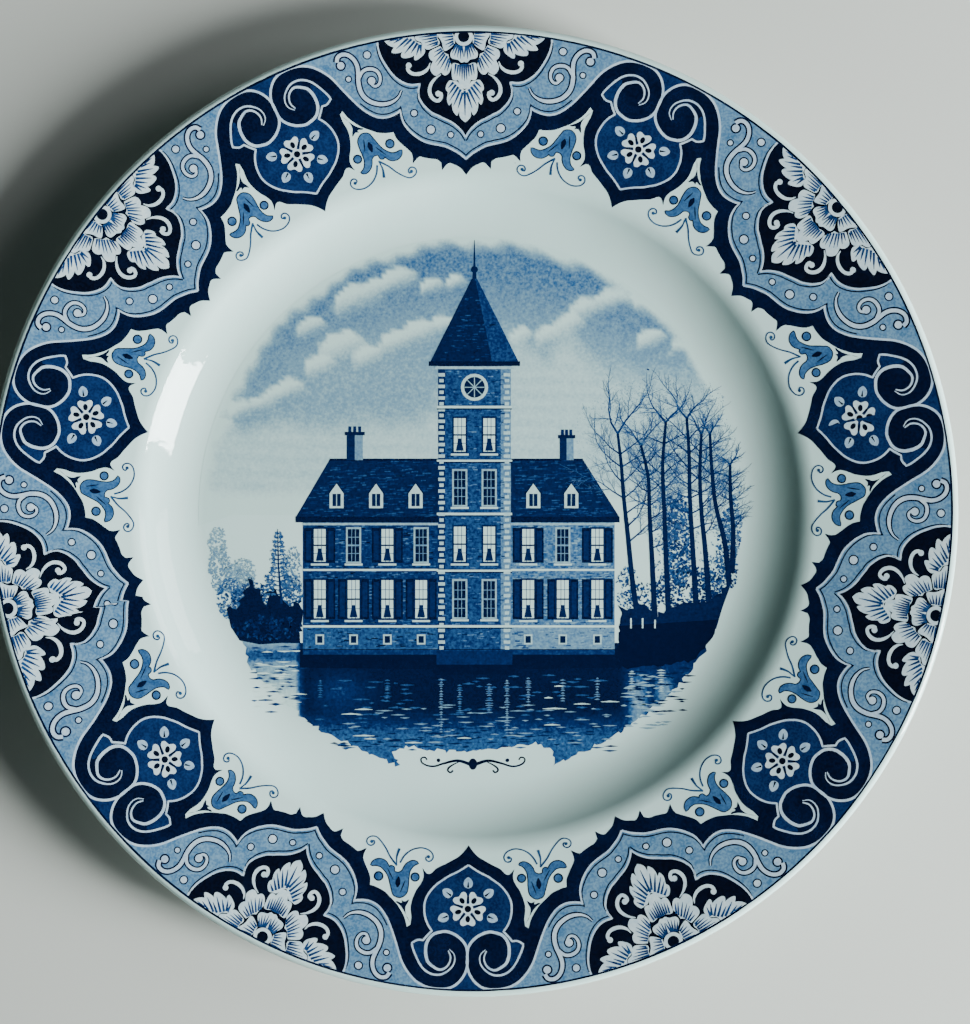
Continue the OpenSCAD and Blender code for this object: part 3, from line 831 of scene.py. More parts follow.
def makeRimLine():
    random.seed(rimLook["seed"])
    steps = rimLook["steps"]
    phase = [random.uniform(0, 6.28) for _ in range(4)]
    turns = np.linspace(0, 2 * math.pi, steps, endpoint=False)
    waves = zip(rimLook["waves"], phase)
    slow, quick, fine, finest = (np.sin(count * turns + shift) for count, shift in waves)
    outer = rimLook["outer"] + rimLook["wander"] * slow * quick
    outer -= rimLook["wear"] * np.clip(fine + finest - rimLook["wornFrom"], 0, 1)
    unit = np.column_stack([np.cos(turns), np.sin(turns)])
    verts = np.vstack([unit * rimLook["inner"], unit * outer[:, None]])
    faces = []
    for i in range(steps):
        j = (i + 1) % steps
        faces += [(i, i + steps, j), (j, i + steps, j + steps)]
    line = Print("rimLine", "navyInk", "navy_print", 0)
    line.add((verts, np.array(faces)))
    line.make("rim_line_print")


makeRimLine()
print("border finished")

# the round view: a country house by water, drawn in ink tones on the floor
viewLook = {"white": linear(199, 225, 221), "pale": linear(120, 154, 174), "middle": linear(44, 86, 134),
            "dark": linear(13, 38, 88), "black": linear(5, 13, 42), "grain": 1500.0, "mottle": 620.0,
            "grainAmount": 0.46, "mottleAmount": 0.16, "leastBreak": 0.06, "lightBreak": 0.62,
            "lightTo": 0.4, "darkFrom": 0.6,
            "stops": ((0.0, "white"), (0.06, "white"), (0.36, "pale"), (0.62, "middle"), (0.8, "dark"),
                      (1.0, "black"))}
view = {"scale": 1.014, "seed": 11, "skyRadius": 70.8, "levelLift": 0.0042}


def makeViewInk():
    # ink tone 0 to 1 comes from the drawing; stipple breaks it up, most of all in the middle tones
    finish = Finish("viewInk")
    tone = finish.add("ShaderNodeAttribute", {"attribute_name": "tone"}, out="Fac")
    grain = finish.noise(viewLook["grain"], 1.0) - 0.5
    mottle = finish.noise(viewLook["mottle"], 2.0, 0.6) - 0.5
    middle = (tone * (1.0 - tone) * 4.0 + viewLook["leastBreak"]).clamped()
    share = middle * finish.spread(tone, viewLook["lightTo"], viewLook["darkFrom"],
                                   viewLook["lightBreak"], 1.0)
    inked = tone + share * (grain * viewLook["grainAmount"] + mottle * viewLook["mottleAmount"])
    stops = tuple((at, viewLook[name]) for at, name in viewLook["stops"])
    ramp = finish.add("ShaderNodeValToRGB", {"stops": stops}, {0: inked})
    finish.feed("Base Color", ramp)
    finish.glossy(gloss)
    return finish.material


finishes["viewInk"] = makeViewInk()


class Picture(Print):
    # a printed piece of the view: every shape has an ink tone, a number or a function of x and y
    def __init__(self, name, layer):
        super().__init__(name, "viewInk", "view_print", layer)
        self.tones = []

    def draw(self, shape, tone, level=0):
        flat, faces = shape
        values = tone(flat[:, 0], flat[:, 1]) if callable(tone) else np.full(len(flat), float(tone))
        self.tones.append(values)
        self.add((flat * view["scale"], faces), level * view["levelLift"])

    def poly(self, points, tone, level=0, grid=5.0):
        self.draw(filled(np.array([p[:2] for p in points], float), grid), tone, level)

    def pen(self, points, widths, tone, level=0, curved=False):
        line = joinedCurve(points, 0.7) if curved else straight(points, 4.0)
        self.draw(stroked(line, widths), tone, level)

    def box(self, x0, y0, x1, y1, tone, level=0):
        corners = np.array([(x0, y0), (x1, y0), (x1, y1), (x0, y1)])
        self.draw((corners, np.array([(0, 1, 2), (0, 2, 3)])), tone, level)

    def leaves(self, x, y, wide, high, count, size, tone, level=0):
        # a spray of small leaf marks inside an oval
        for _ in range(count):
            angle, far = random.uniform(0, 6.28), math.sqrt(random.random())
            cx, cy = x + wide * far * math.cos(angle), y + high * far * math.sin(angle)
            grown = size * random.uniform(0.5, 1.3)
            self.draw(disc(cx, cy, grown, grown * random.uniform(0.35, 0.7), random.uniform(0, 180), 7),
                      tone * random.uniform(0.85, 1.08), level)

    def finishView(self, *nodes):
        piece = self.make(*nodes)
        tones = np.concatenate(self.tones).astype(np.float32)
        attribute = piece.data.attributes.new("tone", "FLOAT", "POINT")
        attribute.data.foreach_set("value", tones)

    def courses(self, x, y, wide, high, count, tone, level=0, run=1.2, slope=0.0, within=None):
        # short strokes, such as brick courses or slates, scattered over an area, or only inside an outline
        for _ in range(count):
            cx, cy = x + wide * random.uniform(-1, 1), y + high * random.uniform(-1, 1)
            reach = run * random.uniform(0.4, 1.2)
            rise = slope * reach / 2
            ends = np.array([(cx - reach / 2, cy - rise), (cx + reach / 2, cy + rise)])
            if within is not None and not insideLoop(ends, np.array(within, float)).all():
                continue
            self.pen(ends, (random.uniform(0.16, 0.34),), tone * random.uniform(0.9, 1.08), level)


def soft(value, low, high):
    t = np.clip((value - low) / (high - low), 0, 1)
    return t * t * (3 - 2 * t)


def ragged(points, amount, step=1.4):
    # the same outline with its edge broken up, but for its two ends
    line = straight(list(points), step)
    for i in range(1, len(line) - 1):
        line[i] += (random.uniform(-amount, amount), random.uniform(-amount, amount))
    return [tuple(p) for p in line]


random.seed(view["seed"])

# sky: dense along the outer arc, open round the clouds, fading out downwards
clouds = ((-18.7, 57.2, 6), (-4.2, 57.8, 3.3), (-10.2, 56.7, 3.8), (-24, 55.4, 5.2), (-29.4, 52.2, 6.8),
          (-41.4, 46, 4.4), (-3, 47.2, 3.4), (-7.5, 46.3, 4.4), (-13.5, 44.1, 5.5), (-19.5, 41.9, 4.9),
          (-33.2, 39.7, 7.1), (-26.6, 38.4, 4.6), (-39.2, 35.9, 4.6), (-46.9, 29.9, 4.6),
          (-50.7, 28.3, 4.1), (-55.1, 26.1, 3.8), (-59.5, 24.6, 4.4), (-64.6, 20, 4), (42.3, 51.8, 4.1),
          (36.3, 52.3, 5.5), (30, 50.1, 5.5), (25.1, 46.3, 4.9), (19.6, 43.6, 4.4), (13, 44, 3.6),
          (52, 40.5, 3.8), (46.4, 42.6, 4.6))
# how far down the dense sky reaches, as heights at points across
skyFloor = ((-70, -62, -48, -34, -12, 2, 8, 19, 24, 31, 42, 55, 66),
            (22, 23, 22, 21, 24, 40, 45, 41, 48, 37, 36, 35, 33))


def skyTone(x, y):
    r = np.hypot(x, y - 0.6)
    wave = 1.1 * np.sin(x * 0.31 + 1.3) + 0.8 * np.sin(x * 0.83 + y * 0.6)
    low = np.interp(x, skyFloor[0], skyFloor[1])
    base = 0.33 + 0.11 * soft(y, 34, 62) + 0.08 * soft(r, 50, 66)
    base = base * (0.36 + 0.64 * soft(y + wave, low - 8, low + 6)) * soft(y, 8, 25)
    base = np.maximum(base + 0.025, (0.17 + 0.02 * np.sin(y * 1.7 + 0.05 * x)) * soft(y, -1, 9))
    tone = base
    for cx, cy, size in clouds:
        # every puff has a lit upper left edge and melts into the sky below it
        u, v = (x - cx) / size, (y - cy) / size
        wobble = 0.12 * np.sin(x * 1.1 + cy) * np.sin(y * 1.3 + cx)
        within = (1 - soft(u * u + v * v + wobble, 0.78, 1.12)) * soft(v, -0.95, -0.1)
        lit = soft(v * 0.85 - u * 0.35, -0.25, 0.75)
        tone = tone * (1 - within) + base * (1 - 0.94 * lit) * within
    haze = 0.2 * np.exp(-((x + 56) / 11) ** 2 - ((y - 6.5) / 2.6) ** 2)
    return np.maximum(tone, haze) * (1 - soft(r + 0.6 * wave, 66.0, 70.6))


def roundEdge(y0, radius, steps, start, end):
    angles = np.radians(np.linspace(start, end, steps))
    return [(radius * math.cos(a), y0 + radius * math.sin(a)) for a in angles]


sky = Picture("skyPrint", 0)
sky.poly(roundEdge(0, view["skyRadius"], 90, -3, 183) + [(-62, -1), (62, -1)], skyTone, 0, 1.1)
# one bird, far off
sky.draw(disc(45.2, 36.6, 0.4, 0.22, -20, 9), 0.8, 1)
sky.finishView("view_sky_print")

# water: the dark reflection of the house, streaked across by the light
waterEdge = [(-59.5, -33.6), (-58.6, -36), (-57.4, -40.6), (-55.2, -42.6), (-50.6, -46.4), (-46.8, -50.6),
             (-43.2, -54), (-38, -57), (-32, -60), (-26.6, -62.4), (-19, -66), (-20.4, -62.6), (-17, -60.6),
             (-10, -61.6), (-2, -62.4), (6, -61.4), (17, -59.8), (21, -62.2), (20.6, -65.8), (30, -61.2),
             (38, -57), (46, -51), (52.4, -46), (56, -41), (59.5, -36.5), (62, -31.4)]


def waterTone(x, y):
    main = soft(x, -45.4, -44.2) * (1 - soft(x, 37.4, 41))
    deep = 0.97 - 0.30 * soft(-y, 50, 60) - 0.16 * np.exp(-((x + 34) / 7) ** 2 - ((y + 47) / 5) ** 2)
    left = 0.34 + 0.42 * np.exp(-((y + 37.2) / 1.8) ** 2) - 0.25 * soft(-y, 42, 50)
    right = 0.84 - 0.42 * soft(-y, 40, 46) * (0.5 + 0.5 * np.sin(x * 0.9 + 1.0))
    return deep * main + (1 - main) * np.where(x < 0, left, right)


water = Picture("waterPrint", 1)
water.poly(ragged(waterEdge, 0.55, 1.0) + [(62, -28), (38, -28), (38, -34), (-44, -34)], waterTone, 0, 1.3)


def streaks(rows, left, right, count, tone, width, level):
    for _ in range(count):
        y = random.uniform(*rows)
        x = random.uniform(left, right)
        run = random.uniform(1.2, 4.6)
        middle = (x + run / 2, y + random.uniform(-0.15, 0.15))
        water.pen(((x, y), middle, (x + run, y)), (0.04, width, 0.04), tone, level)


streaks((-52, -35), -58, -46, 46, 0.78, 0.5, 1)
streaks((-51, -36), -57, -47, 34, 0.06, 0.4, 2)
streaks((-62, -42), -42, 34, 110, 0.70, 0.5, 1)
streaks((-61, -52), -40, 34, 120, 0.90, 0.5, 1)
streaks((-60, -50), -36, 34, 70, 0.42, 0.35, 2)
streaks((-56, -42), 38, 50, 46, 0.34, 0.5, 2)
streaks((-52, -40), 38, 54, 40, 0.92, 0.5, 3)
# upright reflections: the tower's corner stones, the windows and the trunks
reflections = ((-8.2, -57, -43.4, 1.6, 0.5), (8.8, -58, -43.4, 1.6, 0.5), (-3.4, -52, -44.5, 2.2, 0.6),
               (4.2, -52, -44.5, 2.2, 0.55), (14.3, -50, -43, 1.8, 0.5), (23.2, -49, -43, 1.8, 0.5),
               (32.1, -48.6, -42.8, 1.8, 0.5), (-22.1, -49, -43.6, 1.8, 0.66),
               (-39.4, -48, -43.6, 1.8, 0.66), (41, -48, -41, 2.4, 0.3), (48.6, -46.5, -40.6, 2.8, 0.22))
for x, y0, y1, wide, tone in reflections:
    y = y0
    while y < y1:
        reach = wide * random.uniform(0.35, 1.0)
        water.pen(((x - reach / 2, y), (x, y + 0.1), (x + reach / 2, y)), (0.05, 0.42, 0.05), tone, 3)
        y += random.uniform(0.45, 0.8)
glints = ((21, -45.2, 2.4), (18.4, -48.2, 2.2), (26, -49.8, 4.4), (33, -49.2, 4.8), (18, -51, 6.2),
          (-30.5, -51.2, 4.6), (-34, -52.4, 5), (-31, -58, 5.6), (-17.5, -59.8, 4.4), (-4, -58.6, 3.6),
          (18.4, -55.2, 4.2), (-28, -58.8, 3))
for x, y, run in glints:
    water.pen(((x, y), (x + run / 2, y + 0.1), (x + run, y)), (0.1, 0.42, 0.08), 0.12, 4)
# the bank and the plinth's shadow lie along the top of the water
bank = ((37.6, -29.6), (37.6, -40.6), (46, -40), (50, -39.4), (57, -38.8), (59, -36.4), (62.4, -31.6))
water.poly(ragged(bank, 0.5, 1.2) + [(63, -28)], 0.99, 4)
water.poly(((-44.6, -35.6), (37.8, -35.6), (37.8, -40.4), (11, -40.8), (10.6, -42.2), (-9.8, -42.2),
            (-10.2, -40.8), (-44.6, -40.4)), 0.985, 3)
water.poly(((-43.9, -35.8), (36.6, -35.8), (36.6, -37.0), (-43.9, -37.0)), 0.80, 4)
water.poly(((-9.4, -36), (10.2, -36), (10.2, -39.6), (-9.4, -39.6)), 0.86, 5)
water.finishView("view_water_print")

# trees: bare ones on the right over a hedge, a fir among shrubs on the left
trees = Picture("treesPrint", 1)


def branch(x, y, angle, length, width, depth, tone):
    # one bough and the twigs that leave it, each bent a little
    if depth == 0 or length < 0.6:
        return
    bend = random.uniform(-0.3, 0.3) + 0.12 * math.cos(angle)
    mid = (x + math.cos(angle) * length * 0.5, y + math.sin(angle) * length * 0.5)
    tip = (mid[0] + math.cos(angle + bend) * length * 0.5, mid[1] + math.sin(angle + bend) * length * 0.5)
    trees.pen(((x, y), mid, tip), (width, width * 0.8, width * 0.5), tone, 4)
    branch(tip[0], tip[1], angle + bend + random.uniform(-0.3, 0.3), length * 0.74, width * 0.62,
           depth - 1, tone * 0.93)
    for share in (0.35, 0.6, 0.85):
        spot = (x + (tip[0] - x) * share, y + (tip[1] - y) * share)
        turn = random.choice((-1, 1)) * random.uniform(0.4, 0.9)
        branch(spot[0], spot[1], angle + turn, length * random.uniform(0.42, 0.62), width * 0.5,
               depth - 1, tone * 0.9)


bareTrees = (((42.6, -28), (41.2, -18), (40, -6), (38.9, 4), (38.3, 12), (37.4, 20)),
             ((47, -28), (46.4, -15), (45.6, 0), (45.2, 9), (43.4, 17)),
             ((50.6, -28), (50, -15), (49.4, 0), (49, 12), (49.8, 23)),
             ((57.6, -24), (56.8, -10), (56, 4), (55.8, 15), (55.2, 24)),
             ((61, -24), (60, -10), (59, 0), (58.6, 10), (59, 20)),
             ((66.2, -19), (65, -8), (62.6, 2), (61.6, 12), (61.2, 20)),
             ((66.9, -16), (67.2, -5), (66.5, 4), (66.4, 12)))
treeSizes = (1.2, 0.78, 0.86, 1.0, 0.78, 0.58, 0.42)
fullTree, lowShare = 3, 0.6
# boughs, each as its share of the trunk's height and its length
crown = ((0.42, 9), (0.5, 9), (0.58, 10), (0.66, 10), (0.74, 10), (0.82, 9), (0.9, 9), (1.0, 9))
for number, trunk in enumerate(bareTrees):
    trees.pen(trunk, (1.5, 1.3, 1.1, 0.95, 0.7), 0.93, 5, curved=True)
    line = joinedCurve(trunk, 0.7)
    shrink = treeSizes[number]
    for share, length in crown:
        spot = line[int(share * (len(line) - 1))]
        for way in (-1, 1):
            # only one tree has low boughs on both sides
            if share < lowShare and way > 0 and number != fullTree:
                continue
            lean = random.uniform(0.35, 0.75) if share == 1 else random.uniform(0.7, 1.25)
            branch(spot[0], spot[1], math.pi / 2 + way * lean, length * shrink * random.uniform(0.5, 0.7),
                   0.42 if share < 1 else 0.6, 4, 0.8)
foliage = ((53.2, -8, 3.4, 12, 760, 0.42, 0.74), (51.2, -4, 2.2, 8, 120, 0.4, 0.9),
           (67.4, -4, 1.9, 8, 260, 0.4, 0.6), (65.4, -9, 2.6, 10, 330, 0.4, 0.72),
           (62, -17, 3.2, 5, 150, 0.4, 0.7), (40, -20, 3, 6, 170, 0.36, 0.72),
           (45.5, -22, 6, 4, 190, 0.38, 0.8), (48, -8, 2, 14, 120, 0.3, 0.6),
           (56, -20, 9, 6, 520, 0.45, 0.84), (60, -6, 5, 12, 150, 0.28, 0.5),
           (41, 24, 9, 9, 150, 0.22, 0.3), (55, 27, 8, 7, 130, 0.22, 0.3), (63, 16, 5, 9, 200, 0.2, 0.36),
           (46, 30, 8, 6, 260, 0.2, 0.34), (34, 20, 8, 10, 260, 0.2, 0.32),
           (66.8, -14, 1.6, 6, 120, 0.4, 0.74), (41, 26, 8, 8, 260, 0.2, 0.34),
           (57, 28, 8, 6, 260, 0.2, 0.34))
for x, y, wide, high, count, size, tone in foliage:
    trees.leaves(x, y, wide, high, count, size, tone, 3)
hedge = ((37.8, -30.4), (37.8, -24.6), (41, -25.6), (44, -24.2), (47.6, -27), (51, -25), (54, -23.2),
         (58, -24.4), (61, -22.6), (64, -21.4), (66.6, -17.4))
trees.poly(ragged(hedge, 0.7, 1.0) + [(66.2, -20), (64.4, -25), (62.8, -30.4)], 0.93, 4)
for x in (40.6, 43.6, 46.8):
    trees.box(x, -30.2, x + 0.4, -27.6, 0.1, 5)
thicket = ((-44.2, -34), (-44.2, -22.6), (-47.5, -24.6), (-49.4, -22.4), (-51.8, -19.4), (-53.6, -23.8),
           (-55.4, -20.6), (-57.2, -16.6), (-59.4, -22), (-61, -24.6), (-63.6, -25.2))
trees.poly(ragged(thicket, 0.8, 0.9) + [(-62.4, -30), (-60.2, -33.4), (-55, -34.4), (-49, -34)], 0.97, 3)
shrubs = ((-65.8, -8.5, 2.6, 4.4, 170, 0.36, 0.36, 1), (-65.2, -15, 3.0, 6.0, 300, 0.38, 0.44, 1),
          (-62.8, -22.5, 3.2, 5.4, 300, 0.38, 0.66, 2), (-59.4, -15.8, 3.4, 3.6, 220, 0.36, 0.36, 1),
          (-60, -19, 3.8, 4.0, 230, 0.36, 0.5, 1), (-56.4, -22.5, 5.6, 4.0, 380, 0.4, 0.76, 2),
          (-46.6, -15, 2.4, 6.0, 200, 0.36, 0.5, 2), (-47, -21, 3.0, 5.0, 300, 0.38, 0.7, 2),
          (-53, -30, 9, 3.2, 160, 0.5, 0.9, 4))
for x, y, wide, high, count, size, tone, level in shrubs:
    trees.leaves(x, y, wide, high, count, size, tone, level)
trees.pen(((-49.4, -24), (-50.2, -14), (-50.4, -4.6)), (0.6, 0.4, 0.15), 0.86, 4)
fir = {"x": -50.2, "foot": -21.5, "high": 15.6, "tiers": 15, "tip": 1.0, "spread": 3.2}
for i in range(fir["tiers"]):
    up = i / (fir["tiers"] - 1)
    x, y = fir["x"], fir["foot"] + fir["high"] * up
    reach = (fir["tip"] + fir["spread"] * (1 - up)) * random.uniform(0.75, 1.1)
    for way in (-1, 1):
        trees.pen(((x, y), (x + way * reach * 0.6, y + 0.5), (x + way * reach, y + 0.2)), (0.3, 0.26, 0.1),
                  0.74, 3)
        trees.leaves(x + way * reach * 0.62, y + 0.2, reach * 0.42, 0.5, int(5 + reach * 4), 0.34, 0.66, 3)
trees.finishView("view_trees_print")
print("sky, water and trees drawn")

# a plain country house, seen front on: two hipped wings and a spired tower between them
villa = {"foot": -36.0, "sill": -30.0, "eaves": -1.6, "ridge": 13.4, "rows": ((-27.6, -17.8), (-13.0, -4.6)),
         "tower": (-9.0, 9.8), "towerEaves": 38.2, "spire": 60.0, "tip": 70.0, "mast": 0.4,
         "towerRows": ((-27.4, -18.0), (-13.0, -4.0), (1.6, 10.4), (15.4, 24.0)), "towerColumns": (-3.4, 4.2),
         "windowWide": 3.0, "shutters": 2.5, "stone": 0.12, "roundWindow": 32.0, "roundRim": 3.5,
         "roundPane": 2.7, "roundBars": 2.6}
# every wing's roof has its corners at hip, and its chimney has a place, a width and a height
wings = ({"left": -43.9, "right": -9.0, "bays": 4, "tone": 0.80, "hip": (-45.8, -37.0, -9.0, -9.0),
          "dormers": (-35.2, -25.0, -14.8), "chimney": (-30.5, 4.2, 6.8)},
         {"left": 9.8, "right": 36.6, "bays": 3, "tone": 0.56, "hip": (9.8, 9.8, 28.4, 37.9),
          "dormers": (15.6, 25.4), "chimney": (24.2, 3.6, 6.0)})
house = Picture("housePrint", 1)


def window(x, y0, y1, shutters=0.0, lit=True):
    # a pale surround, panes with their bars, a sill, and shutters standing open where it has them
    wide = villa["windowWide"]
    w = wide / 2
    if shutters:
        for x0, x1 in ((x - w - shutters, x - w - 0.3), (x + w + 0.3, x + w + shutters)):
            house.box(x0, y0 - 0.3, x1, y1 + 0.3, 0.97, 5)
            house.box(x0 + 0.45, y0 + 0.4, x1 - 0.45, y1 - 0.5, 0.87, 6)
    house.box(x - w - 0.45, y0 - 0.4, x + w + 0.45, y1 + 0.5, 0.9 if lit else 0.3, 5)
    house.box(x - w, y0, x + w, y1, 0.04 if lit else 0.97, 6)
    bar = 0.72 if lit else 0.45
    for part in (0.34, 0.66):
        house.box(x - w + wide * part - 0.08, y0, x - w + wide * part + 0.08, y1, bar, 7)
    for part in (0.25, 0.5, 0.75):
        thick = 0.2 if part == 0.5 else 0.08
        level = y0 + (y1 - y0) * part
        house.box(x - w, level - thick, x + w, level + thick, 0.93 if lit and part == 0.5 else bar, 7)
    if lit:
        # the dark between two curtains
        house.poly(((x - w * 0.7, y0 + 0.2), (x + w * 0.7, y0 + 0.2), (x + w * 0.25, y0 + 3.4),
                    (x - w * 0.25, y0 + 3.4)), 0.9, 8)
    house.box(x - w - 0.8, y0 - 1.0, x + w + 0.8, y0 - 0.5, villa["stone"], 6)


def dormer(x, y, wide, high):
    # a pale dormer under a small pointed gable
    w = wide / 2
    top, side, eaves = y + high, y + high * 0.6, y + high * 0.55
    house.poly(((x - w, y), (x + w, y), (x + w, side), (x, top), (x - w, side)), 0.14, 5)
    house.pen(((x - w - 0.4, eaves), (x, top + 0.1), (x + w + 0.4, eaves)), (0.35,), 0.95, 6)
    house.box(x - w * 0.6, y + 0.5, x + w * 0.6, y + high * 0.58, 0.93, 6)
    house.box(x - 0.12, y + 0.5, x + 0.12, y + high * 0.58, 0.3, 7)


def bricks(x0, x1, y0, y1, tone):
    # darker and paler courses over a wall
    mid, half, high = (x0 + x1) / 2, (x1 - x0) / 2 - 0.8, (y1 - y0) / 2 - 0.3
    for share, change in ((1.7, -0.17), (1.2, 0.15)):
        house.courses(mid, (y0 + y1) / 2, half, high, int(share * half * high), tone + change, 1, 1.4, 0.02)


for wing in wings:
    x0, x1, tone = wing["left"], wing["right"], wing["tone"]
    foot, sill, eaves, ridge = (villa[name] for name in ("foot", "sill", "eaves", "ridge"))
    house.box(x0, foot, x1, 0, tone, 0)
    house.box(x0, foot, x1, sill, tone - 0.1, 0)
    bricks(x0, x1, foot, eaves, tone)
    a, b, c, d = wing["hip"]
    roof = ((a, eaves), (b, ridge), (c, ridge), (d, eaves))
    house.poly(roof, 0.91, 1)
    house.courses((a + d) / 2, 6, (d - a) / 2, 8, int(11 * (d - a)), 0.80, 2, 2.0, 0.03, roof)
    house.box(a, eaves - 1.3, d, eaves + 0.2, 0.97, 3)
    house.box(x0, eaves - 2.0, x1, eaves - 1.4, 0.3, 3)
    house.box(b, ridge - 0.4, c, ridge + 0.2, 0.97, 2)
    for y, wide in ((-15.4, 0.5), (sill, 0.55)):
        house.box(x0, y, x1, y + wide, 0.08, 4)
    for k in range(wing["bays"]):
        x = x0 + (x1 - x0) * (k + 0.5) / wing["bays"]
        window(x, *villa["rows"][0], villa["shutters"])
        window(x, *villa["rows"][1], 0.0 if k % 2 else villa["shutters"], k % 2 == 0)
        house.box(x - 1.1, -34.4, x + 1.1, -31.8, 0.2, 4)
        house.box(x - 0.7, -34.0, x + 0.7, -32.2, 0.95, 5)
    for x in wing["dormers"]:
        dormer(x, 0.8, 3.6, 6.4)
    x, wide, high = wing["chimney"]
    top = ridge + high
    house.box(x - wide / 2, ridge - 0.2, x, top, 0.9, 4)
    house.box(x, ridge - 0.2, x + wide / 2, top, 0.45, 4)
    house.box(x - wide * 0.62, top - 0.6, x + wide * 0.62, top + 0.3, 0.95, 5)
    for shift in (-0.3, 0.0, 0.3):
        house.box(x + wide * shift - 0.4, top + 0.3, x + wide * shift + 0.4, top + 1.7, 0.85, 5)

# the tower stands forward of the wings, its right edge in the light
x0, x1 = villa["tower"]
towerFoot, eaves, peak = villa["foot"] - 0.6, villa["towerEaves"], villa["spire"]
house.box(x0, towerFoot, x1, eaves, 0.74, 2)
house.box(x1 - 2.6, towerFoot, x1, eaves, 0.5, 2)
house.box(x0, towerFoot, x0 + 1.8, eaves, 0.86, 2)
for count, shade in ((260, 0.58), (220, 0.86)):
    house.courses(villa["mast"], 1, 8.0, 36, count, shade, 3, 1.3)
for x in (x0 + 0.9, x1 - 1.0):
    y, k = villa["foot"] + 0.3, 0
    while y < eaves - 3:
        reach = 0.85 if k % 2 else 0.55
        house.box(x - reach, y, x + reach, y + 0.85, 0.2, 5)
        y, k = y + 1.5, k + 1
for y, wide in ((villa["sill"], 0.6), (-15.6, 0.5), (-1.0, 0.6), (12.8, 0.5), (26.6, 0.6)):
    house.box(x0 - 0.3, y, x1 + 0.3, y + wide, 0.1, 5)
    house.box(x0 - 0.3, y - 0.35, x1 + 0.3, y - 0.05, 0.95, 5)
for k, row in enumerate(villa["towerRows"]):
    for x in villa["towerColumns"]:
        window(x, *row, lit=k % 2 == 1)
mast, roundWindow, bars = villa["mast"], villa["roundWindow"], villa["roundBars"]
house.draw(disc(mast, roundWindow, villa["roundRim"]), 0.16, 5)
house.draw(disc(mast, roundWindow, villa["roundPane"]), 0.95, 6)
for turn in range(0, 180, 45):
    x, y = bars * math.cos(math.radians(turn)), bars * math.sin(math.radians(turn))
    house.pen(((mast - x, roundWindow - y), (mast + x, roundWindow + y)), (0.22,), 0.3, 7)
spire = ((-11.2, eaves), (-0.3, peak), (1.1, peak), (12.0, eaves))
house.poly(spire, 0.93, 4)
house.poly(((0.6, peak), (1.1, peak), spire[3], (5.0, eaves)), 0.78, 5)
house.courses(-2, 47, 8, 9, 130, 0.82, 5, 1.6, 0.0, spire)
house.box(-11.4, eaves - 0.7, 12.2, eaves + 0.5, 0.98, 6)
house.box(x0 - 0.8, eaves - 1.5, x1 + 0.8, eaves - 0.8, 0.25, 5)
house.pen(((mast, peak - 0.6), (mast, 64), (mast, villa["tip"])), (1.2, 0.5, 0.18), 0.92, 5)
house.draw(disc(mast, 62.4, 0.9), 0.92, 6)
house.finishView("view_house_print")

# a small ornament under the view
flourish = Print("flourishInk", "navyInk", "navy_print", 0)
ornament = {"y": -66.2, "bud": 1.5, "dotAt": (9, 1.0), "dot": 0.5,
            "scroll": ((0.8, 0), (4, 0.9), (7.5, 0.2), (10.5, -0.6), (13, 0.1), (13.6, 1.3), (12.6, 1.8),
                       (12, 1.1)),
            "scrollWidths": (0.9, 0.6, 0.45, 0.4),
            "tendril": ((3.4, 0.7), (5.6, -0.4), (6.6, -1.5), (5.8, -2.2), (5.2, -1.6)),
            "tendrilWidths": (0.2, 0.5, 0.45)}
for way in (-1, 1):
    for part in ("scroll", "tendril"):
        line = joinedCurve([(way * x, ornament["y"] + y) for x, y in ornament[part]])
        flourish.add(stroked(line, ornament[part + "Widths"]))
    flourish.add(disc(way * ornament["dotAt"][0], ornament["y"] + ornament["dotAt"][1], ornament["dot"]))
flourish.add(disc(0, ornament["y"], ornament["bud"], ornament["bud"] * 0.75, 90))
flourish.make("flourish_print")
print("view drawn")

# floor, light and camera
floorLook = {"size": 3.2, "colour": linear(205, 203, 198), "roughness": 0.75}


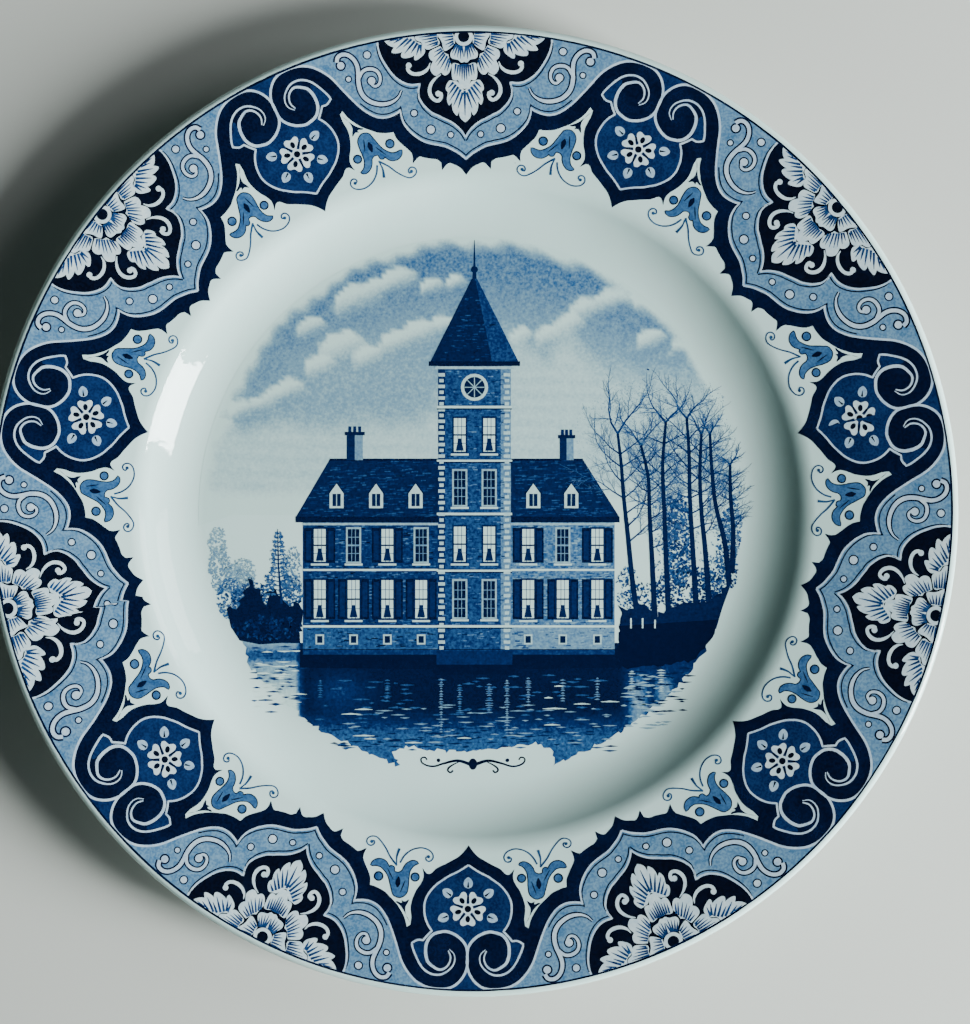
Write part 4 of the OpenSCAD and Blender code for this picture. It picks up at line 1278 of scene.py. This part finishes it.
def makeFloor():
    bpy.ops.mesh.primitive_plane_add(size=floorLook["size"], location=(0, 0, 0))
    floor = bpy.context.object
    floor.name = "floor"
    finish = Finish("floorPaper")
    finish.shader.inputs["Base Color"].default_value = (*floorLook["colour"], 1.0)
    finish.shader.inputs["Roughness"].default_value = floorLook["roughness"]
    floor.data.materials.append(finish.material)


makeFloor()

# a tall window to the right and a little below, and a dimmer one beside it
lights = {
    "window": {"azimuth": -20, "elevation": 21, "distance": 1.35, "wide": 0.34, "high": 1.06, "power": 78,
               "colour": (0.9, 1.0, 0.98)},
    "sideWindow": {"azimuth": 14, "elevation": 34, "distance": 1.6, "wide": 0.6, "high": 0.6, "power": 7,
                   "colour": (0.92, 0.98, 1.0)},
}
room = {"colour": (0.66, 0.92, 0.89), "strength": 0.05}


def makeLight(name, look):
    data = bpy.data.lights.new(name, "AREA")
    data.shape = "RECTANGLE"
    data.size, data.size_y = look["wide"], look["high"]
    data.energy, data.color = look["power"], look["colour"]
    lamp = bpy.data.objects.new(name, data)
    bpy.context.scene.collection.objects.link(lamp)
    a, e = math.radians(look["azimuth"]), math.radians(look["elevation"])
    away = Vector((math.cos(a) * math.cos(e), math.sin(a) * math.cos(e), math.sin(e)))
    lamp.location = away * look["distance"]
    lamp.rotation_mode = "QUATERNION"
    lamp.rotation_quaternion = away.to_track_quat("Z", "Y")


for name, look in lights.items():
    makeLight(name, look)
world = bpy.data.worlds.new("room")
bpy.context.scene.world = world
world.use_nodes = True
background = world.node_tree.nodes["Background"].inputs
background["Color"].default_value = (*room["colour"], 1.0)
background["Strength"].default_value = room["strength"]

cameraLook = {"lens": 100.0, "sensor": 36.0, "seenWidth": 0.2634, "seenAt": 0.02, "x": 0.00316, "y": -0.0002}
cameraData = bpy.data.cameras.new("camera")
cameraData.lens, cameraData.sensor_width = cameraLook["lens"], cameraLook["sensor"]
camera = bpy.data.objects.new("camera", cameraData)
bpy.context.scene.collection.objects.link(camera)
camera.location = (cameraLook["x"], cameraLook["y"],
                   cameraLook["seenAt"] + cameraLook["seenWidth"] * cameraLook["lens"] / cameraLook["sensor"])
bpy.context.scene.camera = camera
print("room lit")
